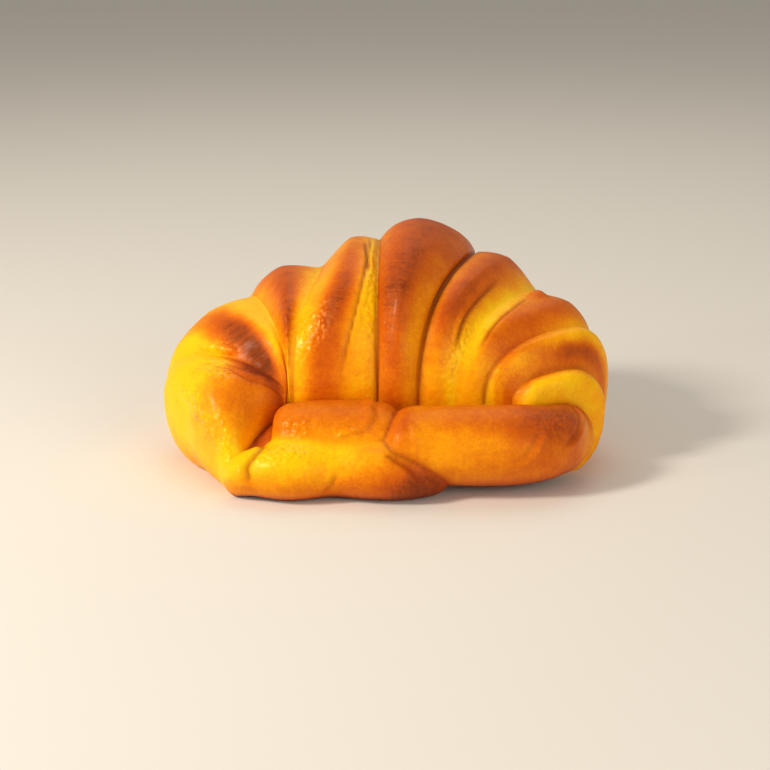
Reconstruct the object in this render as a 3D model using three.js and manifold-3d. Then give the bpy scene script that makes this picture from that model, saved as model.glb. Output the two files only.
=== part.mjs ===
// A croissant: one thick crescent of rolled dough whose two horns curl round
// and meet in front. Millimetres, +X along the width, +Y to the back, +Z up.
//
// The crescent is a fan of upright arches. Each seam of the dough is one arch
// from its foot (in front, just behind the horns) over its crest to its back,
// then round under the belly to a flat base. Between two seams the band of
// dough swells out, steep towards the edge that overlaps its neighbour. The
// horns are tapered rolls laid against the feet of the arches.

import * as THREE from 'three';
import { mergeVertices } from 'three/addons/utils/BufferGeometryUtils.js';
import Module from 'manifold-3d';

// ---- Driving dimensions, mm ----

// The seams, left to right round the fan: foot, crest and back of each arch.
const SEAMS = [
  { foot: [-41, 18, 4], crest: [-43, 12.5, 8.5], back: [-45, 8, 4.5] },
  { foot: [-38.5, 21, 14], crest: [-45, 15.8, 20], back: [-49, 13.5, 8] },
  { foot: [-35.5, 24, 21], crest: [-51.5, 23, 29], back: [-60, 24, 15] },
  { foot: [-33, 27.5, 24], crest: [-56.5, 41, 36], back: [-72, 48, 22] },
  { foot: [-32, 28.5, 24.5], crest: [-41.8, 61, 48], back: [-49.5, 88, 26] },
  { foot: [-30, 28, 24.5], crest: [-22, 68, 56], back: [-25, 102, 28] },
  { foot: [-3.2, 27.5, 24.5], crest: [-2.3, 71, 65.5], back: [-3, 109, 29] },
  { foot: [9.5, 27.5, 24.5], crest: [26.8, 69, 62], back: [32.5, 103.5, 29] },
  { foot: [21.5, 28, 24.5], crest: [44.5, 59.5, 51], back: [55, 83, 27] },
  { foot: [31, 28, 24.5], crest: [58.5, 46, 42.5], back: [69, 56, 23] },
  { foot: [40, 27.5, 24], crest: [57.5, 35.5, 32], back: [68, 42, 20] },
  { foot: [46, 25, 18], crest: [57, 29, 25.5], back: [66.5, 34, 16] },
  { foot: [47, 24, 10], crest: [53.5, 27, 16], back: [58.5, 29, 9] },
];

// The bands between the seams. lift is how far the band swells; rise and fall
// are the shares of its width taken by its left and right shoulders, and
// riseShape and fallShape say how steeply each shoulder starts at its seam.
const BANDS = [
  { from: 0, to: 3, lift: 4, rise: 0.66, riseShape: 1.6, fall: 0.34, fallShape: 1.7, steps: 16 },
  { from: 3, to: 4, lift: 7, rise: 0.5, riseShape: 1.7, fall: 0.5, fallShape: 1.2, steps: 8 },
  { from: 4, to: 5, lift: 6.8, rise: 0.4, riseShape: 1.8, fall: 0.6, fallShape: 1.25, steps: 8 },
  { from: 5, to: 6, lift: 5.4, rise: 0.5, riseShape: 1.6, fall: 0.5, fallShape: 1.2, steps: 8 },
  { from: 6, to: 7, lift: 8.2, rise: 0.46, riseShape: 1.6, fall: 0.54, fallShape: 1.7, steps: 9 },
  { from: 7, to: 8, lift: 4.8, rise: 0.5, riseShape: 1.2, fall: 0.5, fallShape: 1.3, steps: 8 },
  { from: 8, to: 9, lift: 4.4, rise: 0.56, riseShape: 1.2, fall: 0.44, fallShape: 1.6, steps: 8 },
  { from: 9, to: 10, lift: 5.8, rise: 0.5, riseShape: 1.3, fall: 0.5, fallShape: 1.7, steps: 8 },
  { from: 10, to: 12, lift: 5.2, rise: 0.5, riseShape: 1.6, fall: 0.5, fallShape: 1.6, steps: 10 },
];

// The horns and the dough between them: centre line, half width and half
// height along it, and how long each rounded end is.
const ROLLS = {
  rightHorn: {
    path: [[57, 36, 13], [56, 26, 13.4], [50.5, 18.3, 14.2], [42, 14.4, 14.6],
      [29, 12.9, 14.8], [14, 12.5, 15], [4, 12.6, 15.2], [-4, 13.4, 16]],
    radii: [[7, 8], [9.5, 10.5], [11.6, 11.4], [13.2, 12.4],
      [13.2, 12.6], [12.9, 12.2], [12.2, 11.6], [10.6, 10.4]],
    startCap: 6, endCap: 8, rings: 34, sides: 22,
  },
  leftHornLower: {
    path: [[-49, 9.5, 5.3], [-41, 7.8, 7.4], [-30.5, 6.8, 8.8], [-17, 8.6, 9],
      [-5, 7, 9], [4, 6.6, 8.2], [12, 8.6, 6.8], [18.5, 12, 5]],
    radii: [[5, 5.2], [8, 7.4], [10.6, 9.4], [10, 9.2],
      [10.4, 9.4], [10, 8.6], [8.2, 7], [5.5, 5]],
    startCap: 5, endCap: 7, rings: 34, sides: 20,
  },
  leftHornUpper: {
    path: [[-36, 18.5, 17.5], [-27, 17.6, 18.4], [-15, 17.2, 18.8], [-3, 17, 18.6], [6, 17.5, 17.5]],
    radii: [[8.5, 7.5], [11, 8.6], [11.6, 8.8], [11.4, 8.8], [9.5, 8]],
    startCap: 6, endCap: 5, rings: 20, sides: 18,
  },
  core: {
    path: [[-47, 11, 5.5], [-40, 18, 8], [-30, 23.5, 10], [-10, 24, 10.5], [20, 24, 10.5], [50, 30, 10]],
    radii: [[4.5, 5.5], [8, 8], [10, 10.3], [10, 10.8], [10, 10.8], [9, 9.5]],
    startCap: 6, endCap: 6, rings: 18, sides: 14,
  },
};

const FRONT_SQUARENESS = 2.35; // superellipse exponent, foot to crest
const BACK_SQUARENESS = 2.2; // crest to back
const CAP_SQUARENESS = 2.6; // rounded ends of the rolls
const BASE_INSET = 13; // how far the base lies in from the widest line
const BASE_INSET_SHARE = 0.45; // and at most this share of the arch's depth
const FOOT_LIFT = 0.28; // share of a band's swell left at its foot
const FULL_LIFT_AT = 0.55; // share of the front quarter where it is full
const BACK_LIFT_LOSS = 0.35; // share of the swell lost by the widest line
const FRONT_ROWS = 18;
const BACK_ROWS = 13;
const UNDER_ROWS = 5;
const BASE_ROWS = 3;
const WALL_ROWS = 2;

// ---- Curves ----

function smoothCurve(points) {
  const vectors = points.map((p) => new THREE.Vector3(p[0], p[1], p[2] ?? 0));
  return new THREE.CatmullRomCurve3(vectors, false, 'catmullrom', 0.5);
}

const LAST_SEAM = SEAMS.length - 1;
const footRail = smoothCurve(SEAMS.map((seam) => seam.foot));
const crestRail = smoothCurve(SEAMS.map((seam) => seam.crest));
const backRail = smoothCurve(SEAMS.map((seam) => seam.back));

// Rises from 0 at x = 0 to 1 at x = 1, steep at first for shape > 1.
function shoulder(x, shape) {
  const clamped = THREE.MathUtils.clamp(x, 0, 1);
  return (1 - (1 - clamped) ** shape) ** (1 / shape);
}

// How far the dough swells at a place round the fan, in seams.
function swell(band, place) {
  const t = (place - band.from) / (band.to - band.from);
  const left = shoulder(t / band.rise, band.riseShape);
  const right = shoulder((1 - t) / band.fall, band.fallShape);
  return band.lift * left * right;
}

// ---- The crescent ----

// One arch of the fan without its swell. u runs 0..1 up the front, 1..2 down
// the back to the widest line and 2..3 under the belly to the base.
function makeArch(place) {
  const foot = footRail.getPoint(place / LAST_SEAM);
  const crest = crestRail.getPoint(place / LAST_SEAM);
  const back = backRail.getPoint(place / LAST_SEAM);
  const inward = new THREE.Vector3(foot.x - back.x, foot.y - back.y, 0);
  const depth = inward.length();
  inward.normalize();
  const inset = Math.min(BASE_INSET, BASE_INSET_SHARE * depth);
  const plan = smoothCurve([foot, crest, back].map((p) => [p.x, p.y]));
  const at = (u) => {
    const angle = THREE.MathUtils.clamp(u - Math.min(Math.floor(u), 2), 0, 1) * Math.PI / 2;
    const cos = Math.max(Math.cos(angle), 0);
    const sin = Math.max(Math.sin(angle), 0);
    let point;
    if (u < 1) {
      point = plan.getPoint((1 - cos ** (2 / FRONT_SQUARENESS)) / 2);
      point.z = foot.z + (crest.z - foot.z) * sin ** (2 / FRONT_SQUARENESS);
    } else if (u < 2) {
      point = plan.getPoint((1 + sin ** (2 / BACK_SQUARENESS)) / 2);
      point.z = back.z + (crest.z - back.z) * cos ** (2 / BACK_SQUARENESS);
    } else {
      point = back.clone().addScaledVector(inward, inset * (1 - cos));
      point.z = back.z * (1 - sin);
    }
    return point;
  };
  return { foot, inward, at };
}

// The share of the swell that shows at u.
function liftShare(u) {
  if (u < 1) {
    return FOOT_LIFT + (1 - FOOT_LIFT) * Math.min(u / FULL_LIFT_AT, 1) ** 1.1;
  }
  if (u < 2) {
    return 1 - BACK_LIFT_LOSS * (u - 1) ** 2;
  }
  return (1 - BACK_LIFT_LOSS) * Math.max(Math.cos((u - 2) * Math.PI / 2), 0);
}

// A point on the arch, swollen out square to it in its own upright plane.
function swollenPoint(arch, u, lift) {
  const step = 0.01;
  const ahead = arch.at(Math.min(u + step, 3));
  const behind = arch.at(Math.max(u - step, 0));
  const tangent = ahead.sub(behind);
  const along = -tangent.dot(arch.inward);
  const length = Math.hypot(along, tangent.z) || 1;
  const amount = lift * liftShare(u);
  const point = arch.at(u);
  point.addScaledVector(arch.inward, amount * tangent.z / length);
  point.z = Math.max(point.z + amount * along / length, 0);
  return point;
}

// The closed ring of one station: over the arch, along the base, up the wall.
function stationRing(place, lift) {
  const arch = makeArch(place);
  const ring = [];
  for (let i = 0; i < FRONT_ROWS; i += 1) {
    ring.push(swollenPoint(arch, i / FRONT_ROWS, lift));
  }
  for (let i = 0; i < BACK_ROWS; i += 1) {
    ring.push(swollenPoint(arch, 1 + i / BACK_ROWS, lift));
  }
  for (let i = 0; i <= UNDER_ROWS; i += 1) {
    ring.push(swollenPoint(arch, 2 + i / UNDER_ROWS, lift));
  }
  const heel = ring[ring.length - 1].clone().setZ(0);
  const toe = arch.foot.clone().setZ(0);
  for (let i = 1; i < BASE_ROWS; i += 1) {
    ring.push(heel.clone().lerp(toe, i / BASE_ROWS));
  }
  for (let i = 0; i < WALL_ROWS; i += 1) {
    ring.push(toe.clone().setZ(arch.foot.z * i / WALL_ROWS));
  }
  return ring;
}

// The stations lie closer together near the seams, where the bands step.
function crescentRings() {
  const rings = [];
  for (const band of BANDS) {
    for (let i = 0; i < band.steps; i += 1) {
      const t = 0.5 - 0.5 * Math.cos(Math.PI * i / band.steps);
      const place = band.from + (band.to - band.from) * t;
      rings.push(stationRing(place, swell(band, place)));
    }
  }
  rings.push(stationRing(LAST_SEAM, 0));
  return rings;
}

// ---- The horns ----

// The rings of a tapered roll: ellipses square to its centre line, closing in
// to a rounded end at both ends, and flat where they would pass the base.
function rollRings(roll) {
  const centre = smoothCurve(roll.path);
  const radius = smoothCurve(roll.radii);
  const total = centre.getLength();
  const rings = [];
  for (let i = 1; i < roll.rings; i += 1) {
    const share = i / roll.rings;
    const eased = 0.5 * share + 0.25 - 0.25 * Math.cos(Math.PI * share);
    const t = centre.getUtoTmapping(eased);
    const middle = centre.getPoint(t);
    const size = radius.getPoint(t);
    const startX = Math.min(eased * total / roll.startCap, 1);
    const endX = Math.min((1 - eased) * total / roll.endCap, 1);
    const cap = (1 - (1 - startX) ** CAP_SQUARENESS) ** (1 / CAP_SQUARENESS)
      * (1 - (1 - endX) ** CAP_SQUARENESS) ** (1 / CAP_SQUARENESS);
    const tangent = centre.getTangent(t);
    const across = new THREE.Vector3(tangent.y, -tangent.x, 0).normalize();
    const upward = new THREE.Vector3().crossVectors(across, tangent);
    const ring = [];
    for (let k = 0; k < roll.sides; k += 1) {
      const angle = 2 * Math.PI * k / roll.sides;
      const point = middle.clone();
      point.addScaledVector(across, size.x * cap * Math.cos(angle));
      point.addScaledVector(upward, size.y * cap * Math.sin(angle));
      point.z = Math.max(point.z, 0);
      ring.push(point);
    }
    rings.push(ring);
  }
  return rings;
}

// ---- Solids ----

// A closed mesh from rings of equal length, with a fan at each end.
function ringsToGeometry(rings, startPole, endPole) {
  const sides = rings[0].length;
  const positions = [];
  const index = [];
  for (const ring of rings) {
    for (const point of ring) {
      positions.push(point.x, point.y, point.z);
    }
  }
  for (let j = 0; j < rings.length - 1; j += 1) {
    for (let i = 0; i < sides; i += 1) {
      const next = (i + 1) % sides;
      const a = j * sides + i;
      const b = j * sides + next;
      const c = (j + 1) * sides + next;
      const d = (j + 1) * sides + i;
      index.push(a, b, c, a, c, d);
    }
  }
  const start = positions.length / 3;
  const end = start + 1;
  const lastRing = (rings.length - 1) * sides;
  positions.push(startPole.x, startPole.y, startPole.z, endPole.x, endPole.y, endPole.z);
  for (let i = 0; i < sides; i += 1) {
    const next = (i + 1) % sides;
    index.push(start, next, i);
    index.push(end, lastRing + i, lastRing + next);
  }
  const geometry = new THREE.BufferGeometry();
  geometry.setAttribute('position', new THREE.Float32BufferAttribute(positions, 3));
  geometry.setIndex(index);
  return geometry;
}

function meanPoint(ring) {
  const sum = new THREE.Vector3();
  for (const point of ring) {
    sum.add(point);
  }
  return sum.divideScalar(ring.length);
}

function enclosedVolume(geometry) {
  const position = geometry.getAttribute('position');
  const corners = [new THREE.Vector3(), new THREE.Vector3(), new THREE.Vector3()];
  let volume = 0;
  for (let i = 0; i < geometry.index.count; i += 3) {
    corners.forEach((corner, k) => corner.fromBufferAttribute(position, geometry.index.getX(i + k)));
    volume += corners[0].dot(corners[1].cross(corners[2])) / 6;
  }
  return volume;
}

// Turns the faces outward if the rings ran the other way round.
function facingOut(geometry) {
  if (enclosedVolume(geometry) < 0) {
    const index = geometry.index;
    for (let i = 0; i < index.count; i += 3) {
      const kept = index.getX(i + 1);
      index.setX(i + 1, index.getX(i + 2));
      index.setX(i + 2, kept);
    }
  }
  return geometry;
}

const wasm = await Module();
wasm.setup();

function toSolid(geometry) {
  const merged = mergeVertices(geometry, 1e-4);
  const mesh = new wasm.Mesh({
    numProp: 3,
    vertProperties: new Float32Array(merged.getAttribute('position').array),
    triVerts: new Uint32Array(merged.index.array),
  });
  return new wasm.Manifold(mesh);
}

function toGeometry(solid) {
  const mesh = solid.getMesh();
  const geometry = new THREE.BufferGeometry();
  geometry.setAttribute('position', new THREE.Float32BufferAttribute(mesh.vertProperties, 3));
  geometry.setIndex(new THREE.Uint32BufferAttribute(mesh.triVerts, 1));
  return geometry;
}

function crescentSolid() {
  const rings = crescentRings();
  const geometry = ringsToGeometry(rings, meanPoint(rings[0]), meanPoint(rings[rings.length - 1]));
  return toSolid(facingOut(geometry));
}

function rollSolid(roll) {
  const rings = rollRings(roll);
  const centre = smoothCurve(roll.path);
  const startPole = centre.getPoint(0);
  const endPole = centre.getPoint(1);
  return toSolid(facingOut(ringsToGeometry(rings, startPole, endPole)));
}

// ---- The whole croissant, its origin at the middle of its base ----

let dough = crescentSolid();
for (const roll of Object.values(ROLLS)) {
  dough = dough.add(rollSolid(roll));
}

const geometry = toGeometry(dough);
geometry.computeBoundingBox();
const box = geometry.boundingBox;
geometry.translate(-(box.min.x + box.max.x) / 2, -(box.min.y + box.max.y) / 2, -box.min.z);
geometry.computeVertexNormals();

const crust = new THREE.MeshStandardMaterial({ color: '#d9780f', roughness: 0.42, metalness: 0 });
const croissant = new THREE.Mesh(geometry, crust);
croissant.name = 'croissant';

const part = new THREE.Group();
part.add(croissant);

export default part;
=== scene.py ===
"""A baked croissant: one thick crescent of rolled dough, its horns closed in front.

The crescent is a fan of upright arches. Each seam of the dough is one arch, and
between two seams a band swells out, steep on the edge that laps its neighbour.
The two horns are tapered rolls that lie against the feet of the arches. Lengths
in the dataclasses are millimetres; meshes are made in metres.
"""
import logging
import math
from dataclasses import dataclass, field
from enum import Enum
from typing import Any

import bmesh
import bpy
import numpy as np
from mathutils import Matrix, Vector
from mathutils.bvhtree import BVHTree


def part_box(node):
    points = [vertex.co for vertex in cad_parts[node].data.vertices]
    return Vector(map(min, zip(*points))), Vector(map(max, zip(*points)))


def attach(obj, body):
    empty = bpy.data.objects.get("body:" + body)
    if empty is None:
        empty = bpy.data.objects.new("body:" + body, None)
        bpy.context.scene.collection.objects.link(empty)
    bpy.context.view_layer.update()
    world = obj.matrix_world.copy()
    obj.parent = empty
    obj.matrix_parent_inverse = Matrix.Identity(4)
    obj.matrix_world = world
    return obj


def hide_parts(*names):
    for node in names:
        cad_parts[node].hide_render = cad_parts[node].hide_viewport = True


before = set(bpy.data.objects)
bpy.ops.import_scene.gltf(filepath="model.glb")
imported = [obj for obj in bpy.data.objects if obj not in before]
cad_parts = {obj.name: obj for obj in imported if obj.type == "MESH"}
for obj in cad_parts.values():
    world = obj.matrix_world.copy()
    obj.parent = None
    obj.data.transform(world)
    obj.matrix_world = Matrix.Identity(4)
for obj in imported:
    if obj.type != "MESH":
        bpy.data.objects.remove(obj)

LOG = logging.getLogger("croissant")
MM = 0.001
FAR = 1000.0  # further than any two places on the dough, in millimetres
PHOTO_SIZE = 770  # the photo's width in pixels
PLAN_MIDDLE = (-0.14, 55.0)  # the middle of the dough's plan
WARM_WHITE = "#FFF4E4"
Point = tuple[float, float, float]
Levels = tuple[float, float, float]
Pair = tuple[float, float]
Span = tuple[float, float]


# ---------------------------------------------------------------- small helpers

def linear(hex_colour: str) -> tuple[float, float, float, float]:
    """Turn an sRGB hex colour into the linear colour a shader takes.

    Args:
        hex_colour: six hex digits, with or without a leading #.

    Returns:
        Linear red, green, blue and an alpha of 1.
    """
    digits = hex_colour.lstrip("#")
    channels = [int(digits[i:i + 2], 16) / 255 for i in (0, 2, 4)]
    light = [c / 12.92 if c <= 0.04045 else ((c + 0.055) / 1.055) ** 2.4 for c in channels]
    return (light[0], light[1], light[2], 1.0)


def add_node(tree: bpy.types.NodeTree, kind: str, settings: dict[str, Any] | None = None,
             inputs: dict[Any, Any] | None = None) -> bpy.types.Node:
    """Add one node with its settings, socket values and incoming links.

    Args:
        tree: the node tree to add to.
        kind: the node's bl_idname.
        settings: properties of the node.
        inputs: socket name or index to a value, or to a socket to link from.

    Returns:
        The new node.
    """
    node = tree.nodes.new(kind)
    for name, value in (settings or {}).items():
        setattr(node, name, value)
    for key, value in (inputs or {}).items():
        if isinstance(value, bpy.types.NodeSocket):
            tree.links.new(value, node.inputs[key])
        else:
            node.inputs[key].default_value = value
    return node


def smoothstep(x: np.ndarray | float, low: float, high: float) -> np.ndarray:
    """Rise smoothly from 0 at low to 1 at high."""
    t = np.clip((np.asarray(x, float) - low) / (high - low), 0, 1)
    return t * t * (3 - 2 * t)


def bell(x: np.ndarray | float, centre: np.ndarray | float, half_width: float) -> np.ndarray:
    """Return 1 at the centre, falling to about 0.37 one half width away."""
    return np.exp(-((np.asarray(x, float) - centre) / half_width) ** 2)


def crowded(steps: np.ndarray, even: float) -> np.ndarray:
    """Crowd steps from 0 to 1 toward both ends, a share of them staying even."""
    return even * steps + (1 - even) * (0.5 - 0.5 * np.cos(math.pi * steps))


def above_ground(points: np.ndarray) -> np.ndarray:
    """Lift what has sunk below the ground back onto it, in place."""
    points[..., 2] = np.maximum(points[..., 2], 0)
    return points


def curve(p0: np.ndarray, p1: np.ndarray, p2: np.ndarray, p3: np.ndarray,
          t: np.ndarray | float) -> np.ndarray:
    """Read the smooth curve that runs from one point to the next.

    Args:
        p0: the point before the start.
        p1: the start.
        p2: the end.
        p3: the point after the end.
        t: where to read it, 0 to 1.

    Returns:
        The curve's coordinates there.
    """
    v0, v1 = (p2 - p0) / 2, (p3 - p1) / 2
    return ((2 * p1 - 2 * p2 + v0 + v1) * t ** 3
            + (-3 * p1 + 3 * p2 - 2 * v0 - v1) * t ** 2 + v0 * t + p1)


def smooth_path(points: np.ndarray, place: np.ndarray) -> np.ndarray:
    """Read a smooth curve through evenly numbered points.

    Args:
        points: n rows of coordinates.
        place: where to read it, from 0 to n - 1.

    Returns:
        One row of coordinates for each place.
    """
    table = np.vstack([2 * points[0] - points[1], points, 2 * points[-1] - points[-2]])
    first = np.clip(np.floor(place).astype(int), 0, len(points) - 2)
    return curve(*(table[first + k] for k in range(4)), (place - first)[:, None])


# ---------------------------------------------------------------- the dough's plan

@dataclass(frozen=True)
class Seam:
    """One seam: the foot, crest and back of its arch.

    soft_foot and soft_crest say how far the two bands have run together
    there, from 0, a crisp lap, to 1, a smooth valley.
    """
    foot: Point
    crest: Point
    back: Point
    soft_foot: float = 0.0
    soft_crest: float = 0.5


@dataclass(frozen=True)
class Browning:
    """How brown a band is, from 0, yolk yellow, to 1, dark brown.

    ridge, left and right each hold the browning at the foot, half way up and
    at the crest. ridge_at holds where the ridge lies across the band at the
    foot and at the crest, and width is its half width, as shares.
    """
    ridge: Levels
    left: Levels
    right: Levels
    ridge_at: Pair
    width: float


@dataclass(frozen=True)
class Band:
    """The dough between two seams: how it swells and how it baked.

    start and end are its seams, and lift is how far it swells, in millimetres.
    It rises from its left seam over the share rise of its width and falls to
    its right seam over the share fall. A shape of 1 is a straight slope, and a
    higher one a fuller curve. stations is how many columns of vertices it has.
    """
    name: str
    start: int
    end: int
    lift: float
    rise: float
    rise_shape: float
    fall: float
    fall_shape: float
    stations: int
    browning: Browning


SEAMS: tuple[Seam, ...] = (
    Seam((-41, 17, 4), (-44.5, 10.5, 9.4), (-47.5, 5.6, 5)),
    Seam((-38.5, 21, 14), (-46, 14.5, 19.4), (-51.5, 12, 8)),
    Seam((-35.5, 24, 21), (-51.5, 23, 29), (-60, 24, 15)),
    Seam((-33, 27.5, 24), (-56.5, 41, 35), (-72, 48, 22), 0.9, 0.9),
    Seam((-32, 28.5, 24.5), (-41.8, 61, 48), (-49.5, 88, 26), 0.7, 0.9),
    Seam((-30, 28, 24.5), (-22, 68, 56), (-25, 102, 28), 0.8, 0.9),
    Seam((-3.2, 27.5, 24.5), (-2.3, 71, 65.5), (-3, 109, 29), 0.0, 0.3),
    Seam((9.5, 27.5, 24.5), (26.8, 69, 62), (32.5, 103.5, 29), 0.1, 0.0),
    Seam((21.5, 28, 24.5), (44.5, 59.5, 51), (55, 83, 27), 1.0, 1.0),
    Seam((31, 28, 24.5), (58.5, 46, 42.5), (69, 56, 23), 0.1, 0.7),
    Seam((40, 27.5, 24), (57.5, 35.5, 32), (67, 41.5, 20), 0.7, 0.3),
    Seam((46, 25, 18), (57, 29, 25.5), (66.5, 34, 16)),
    Seam((47, 24, 10), (53.5, 27, 16), (58.5, 29, 9)),
)

BANDS: tuple[Band, ...] = (
    Band("left limb", 0, 3, 4, 0.66, 1.6, 0.34, 1.7, 62,
         Browning((0.80, 0.47, 0.50), (0.38, 0.28, 0.19), (0.32, 1.00, 0.03), (0.7, 0.5), 0.22)),
    Band("left shoulder", 3, 4, 6.2, 0.5, 1.7, 0.5, 1.2, 36,
         Browning((0.30, 1.00, 0.88), (0.53, 1.00, 0.00), (0.74, 0.00, 0.00), (-0.1, 0.3), 0.20)),
    Band("left flank", 4, 5, 6.8, 0.4, 1.8, 0.6, 1.25, 36,
         Browning((0.00, 0.79, 0.68), (0.02, 0.16, 0.13), (0.29, 0.06, 0.00), (0.4, 0.4), 0.34)),
    Band("left cheek", 5, 6, 5.4, 0.5, 1.6, 0.5, 1.2, 44,
         Browning((0.58, 0.83, 0.42), (0.10, 0.12, 0.27), (0.17, 0.00, 0.00), (0.4, 0.6), 0.20)),
    Band("crown", 6, 7, 8.2, 0.46, 1.6, 0.54, 1.7, 46,
         Browning((0.56, 0.88, 0.74), (0.12, 0.50, 0.36), (0.25, 0.34, 0.60), (0.3, 0.5), 0.32)),
    Band("right cheek", 7, 8, 4.8, 0.5, 1.2, 0.5, 1.3, 40,
         Browning((0.20, 0.78, 0.66), (0.32, 0.12, 0.36), (0.00, 0.00, 0.00), (0.4, 0.5), 0.32)),
    Band("right flank", 8, 9, 4.4, 0.56, 1.2, 0.44, 1.6, 36,
         Browning((0.08, 0.61, 0.60), (0.14, 0.00, 0.08), (0.34, 0.95, 0.00), (1.0, 0.6), 0.33)),
    Band("right shoulder", 9, 10, 6.8, 0.5, 1.3, 0.5, 1.7, 32,
         Browning((0.30, 0.22, 0.78), (0.00, 0.49, 0.11), (0.54, 0.33, 0.46), (0.6, 0.8), 0.13)),
    Band("right lobe", 10, 12, 6.0, 0.5, 1.6, 0.5, 1.6, 40,
         Browning((0.12, 0.00, 0.06), (0.30, 0.37, 0.22), (0.10, 0.05, 0.08), (0.5, 0.5), 0.23)),
)


@dataclass(frozen=True)
class Roll:
    """A tapered roll of dough: centre line, then half width and half height.

    start_cap and end_cap are the lengths over which its ends round off.
    """
    name: str
    path: tuple[Point, ...]
    radii: tuple[Pair, ...]
    start_cap: float
    end_cap: float


ROLLS: tuple[Roll, ...] = (
    Roll("right horn",
         ((57, 36, 13), (56, 26, 13.4), (50.5, 18.3, 14.2), (42, 14.4, 14.6),
          (29, 12.9, 14.8), (15, 12.5, 15), (6.5, 12.4, 16), (-1, 12.8, 18)),
         ((7, 8), (9.5, 10.5), (11.6, 11.4), (13.2, 12.4),
          (13.2, 12.6), (12.9, 12.2), (12.3, 11.3), (10.8, 9.3)), 6, 6),
    Roll("left horn, lower",
         ((-49.5, 9, 4.7), (-41, 7.8, 7.4), (-30.5, 6.8, 8.8), (-17, 8.6, 9),
          (-5, 7, 9), (4, 6.6, 8.2), (12, 8.6, 6.8), (18.5, 12, 5)),
         ((5.4, 4.7), (8, 7.4), (10.6, 9.4), (10, 9.2),
          (10.4, 9.4), (10, 8.6), (8.2, 7), (5.5, 5)), 5, 7),
    Roll("left horn, upper",
         ((-36, 18.5, 17.5), (-27, 17.6, 18.4), (-15, 17.2, 18.8), (-4, 17.2, 18.4), (3, 18, 17)),
         ((8.5, 7.5), (11, 8.6), (11.6, 8.8), (11.4, 8.8), (9.5, 8)), 6, 5),
    Roll("core",
         ((-47, 11, 5.5), (-40, 18, 8), (-30, 23.5, 10), (-10, 24, 10.5), (20, 24, 10.5), (50, 30, 10)),
         ((4.5, 5.5), (8, 8), (10, 10.3), (10, 10.8), (10, 10.8), (9, 9.5)), 6, 6),
)


class Zone(Enum):
    """A stretch of dough: a band of the crescent, or one of the rolls."""
    LIMB = 0
    LEFT_SHOULDER = 1
    LEFT_FLANK = 2
    LEFT_CHEEK = 3
    CROWN = 4
    RIGHT_CHEEK = 5
    RIGHT_FLANK = 6
    RIGHT_SHOULDER = 7
    LOBE = 8
    RIGHT_HORN = 9
    LEFT_LOWER = 10
    LEFT_UPPER = 11
    CORE = 12

    @property
    def roll(self) -> int:
        """Return the number of this zone's roll, below 0 for a band."""
        return self.value - len(BANDS)


class Effect(Enum):
    """What a patch changes: browning, fine blisters or the surface's height."""
    BAKE = "bake"
    BLISTER = "blister"
    SWELL = "swell"


@dataclass(frozen=True)
class Crease:
    """A crease in the dough, as places (across, along) it passes.

    depth, width and lip are millimetres. The lip stands beside the groove,
    to its right or, when negative, to its left. red is how far the crease is
    darkened to red-brown: partly the dough's red-brown underside, partly
    painted shade in the groove. lip_at, lip_width and the width of that
    darkening are in widths of the groove: how far off the lip stands, and how
    wide the lip and the painted red and shade are. Bends are eased over the
    share eased of the length.
    """
    places: tuple[Pair, ...]
    depth: float
    width: float
    lip: float
    red: float
    lip_at: float = 2.2
    lip_width: float = 1.6
    red_and_shade_width: float = 1.3
    eased: float = 0.10

    def across_at(self, along: float) -> float:
        """Return how far across the crease lies at a place along, its bends eased."""
        across, marks = np.array(self.places).T
        reach = self.eased * (marks[-1] - marks[0])
        return sum(np.interp(along + reach * step, marks, across) for step in (-1, -0.5, 0, 0.5, 1)) / 5

    def relief(self, side: np.ndarray) -> np.ndarray:
        """Return the height of the crease, in millimetres, at distances to its right."""
        lip = bell(side * math.copysign(1, self.lip), self.lip_at * self.width, self.lip_width * self.width)
        return abs(self.lip) * lip - self.depth * bell(side, 0, self.width)

    def red_and_shade_at(self, side: np.ndarray) -> np.ndarray:
        """Return how far the crease is darkened to red-brown, 0 to 1, at distances to its right: partly its
        underside, partly painted shade.
        """
        return self.red * bell(side, 0, self.red_and_shade_width * self.width)


@dataclass(frozen=True)
class Patch:
    """A soft-edged patch of dough where one effect is stronger or weaker."""
    effect: Effect
    across: float
    along: float
    half_across: float
    half_along: float
    amount: float

    def share(self, across: np.ndarray, along: np.ndarray) -> np.ndarray:
        """Return how far each place lies inside the patch, 0 to 1."""
        far = ((across - self.across) / self.half_across) ** 2
        far = far + ((along - self.along) / self.half_along) ** 2
        return np.exp(-far ** 1.5)


@dataclass(frozen=True)
class RollBrowning:
    """How brown a roll is at its ends, and what its top and underside add to that; what the underside adds
    is partly baked brown, partly painted shade.
    """
    start: float
    end: float
    top: float
    under: float


# The last number of each crease darkens it to red-brown: partly the dough's underside, partly painted shade
# in the groove.
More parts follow.
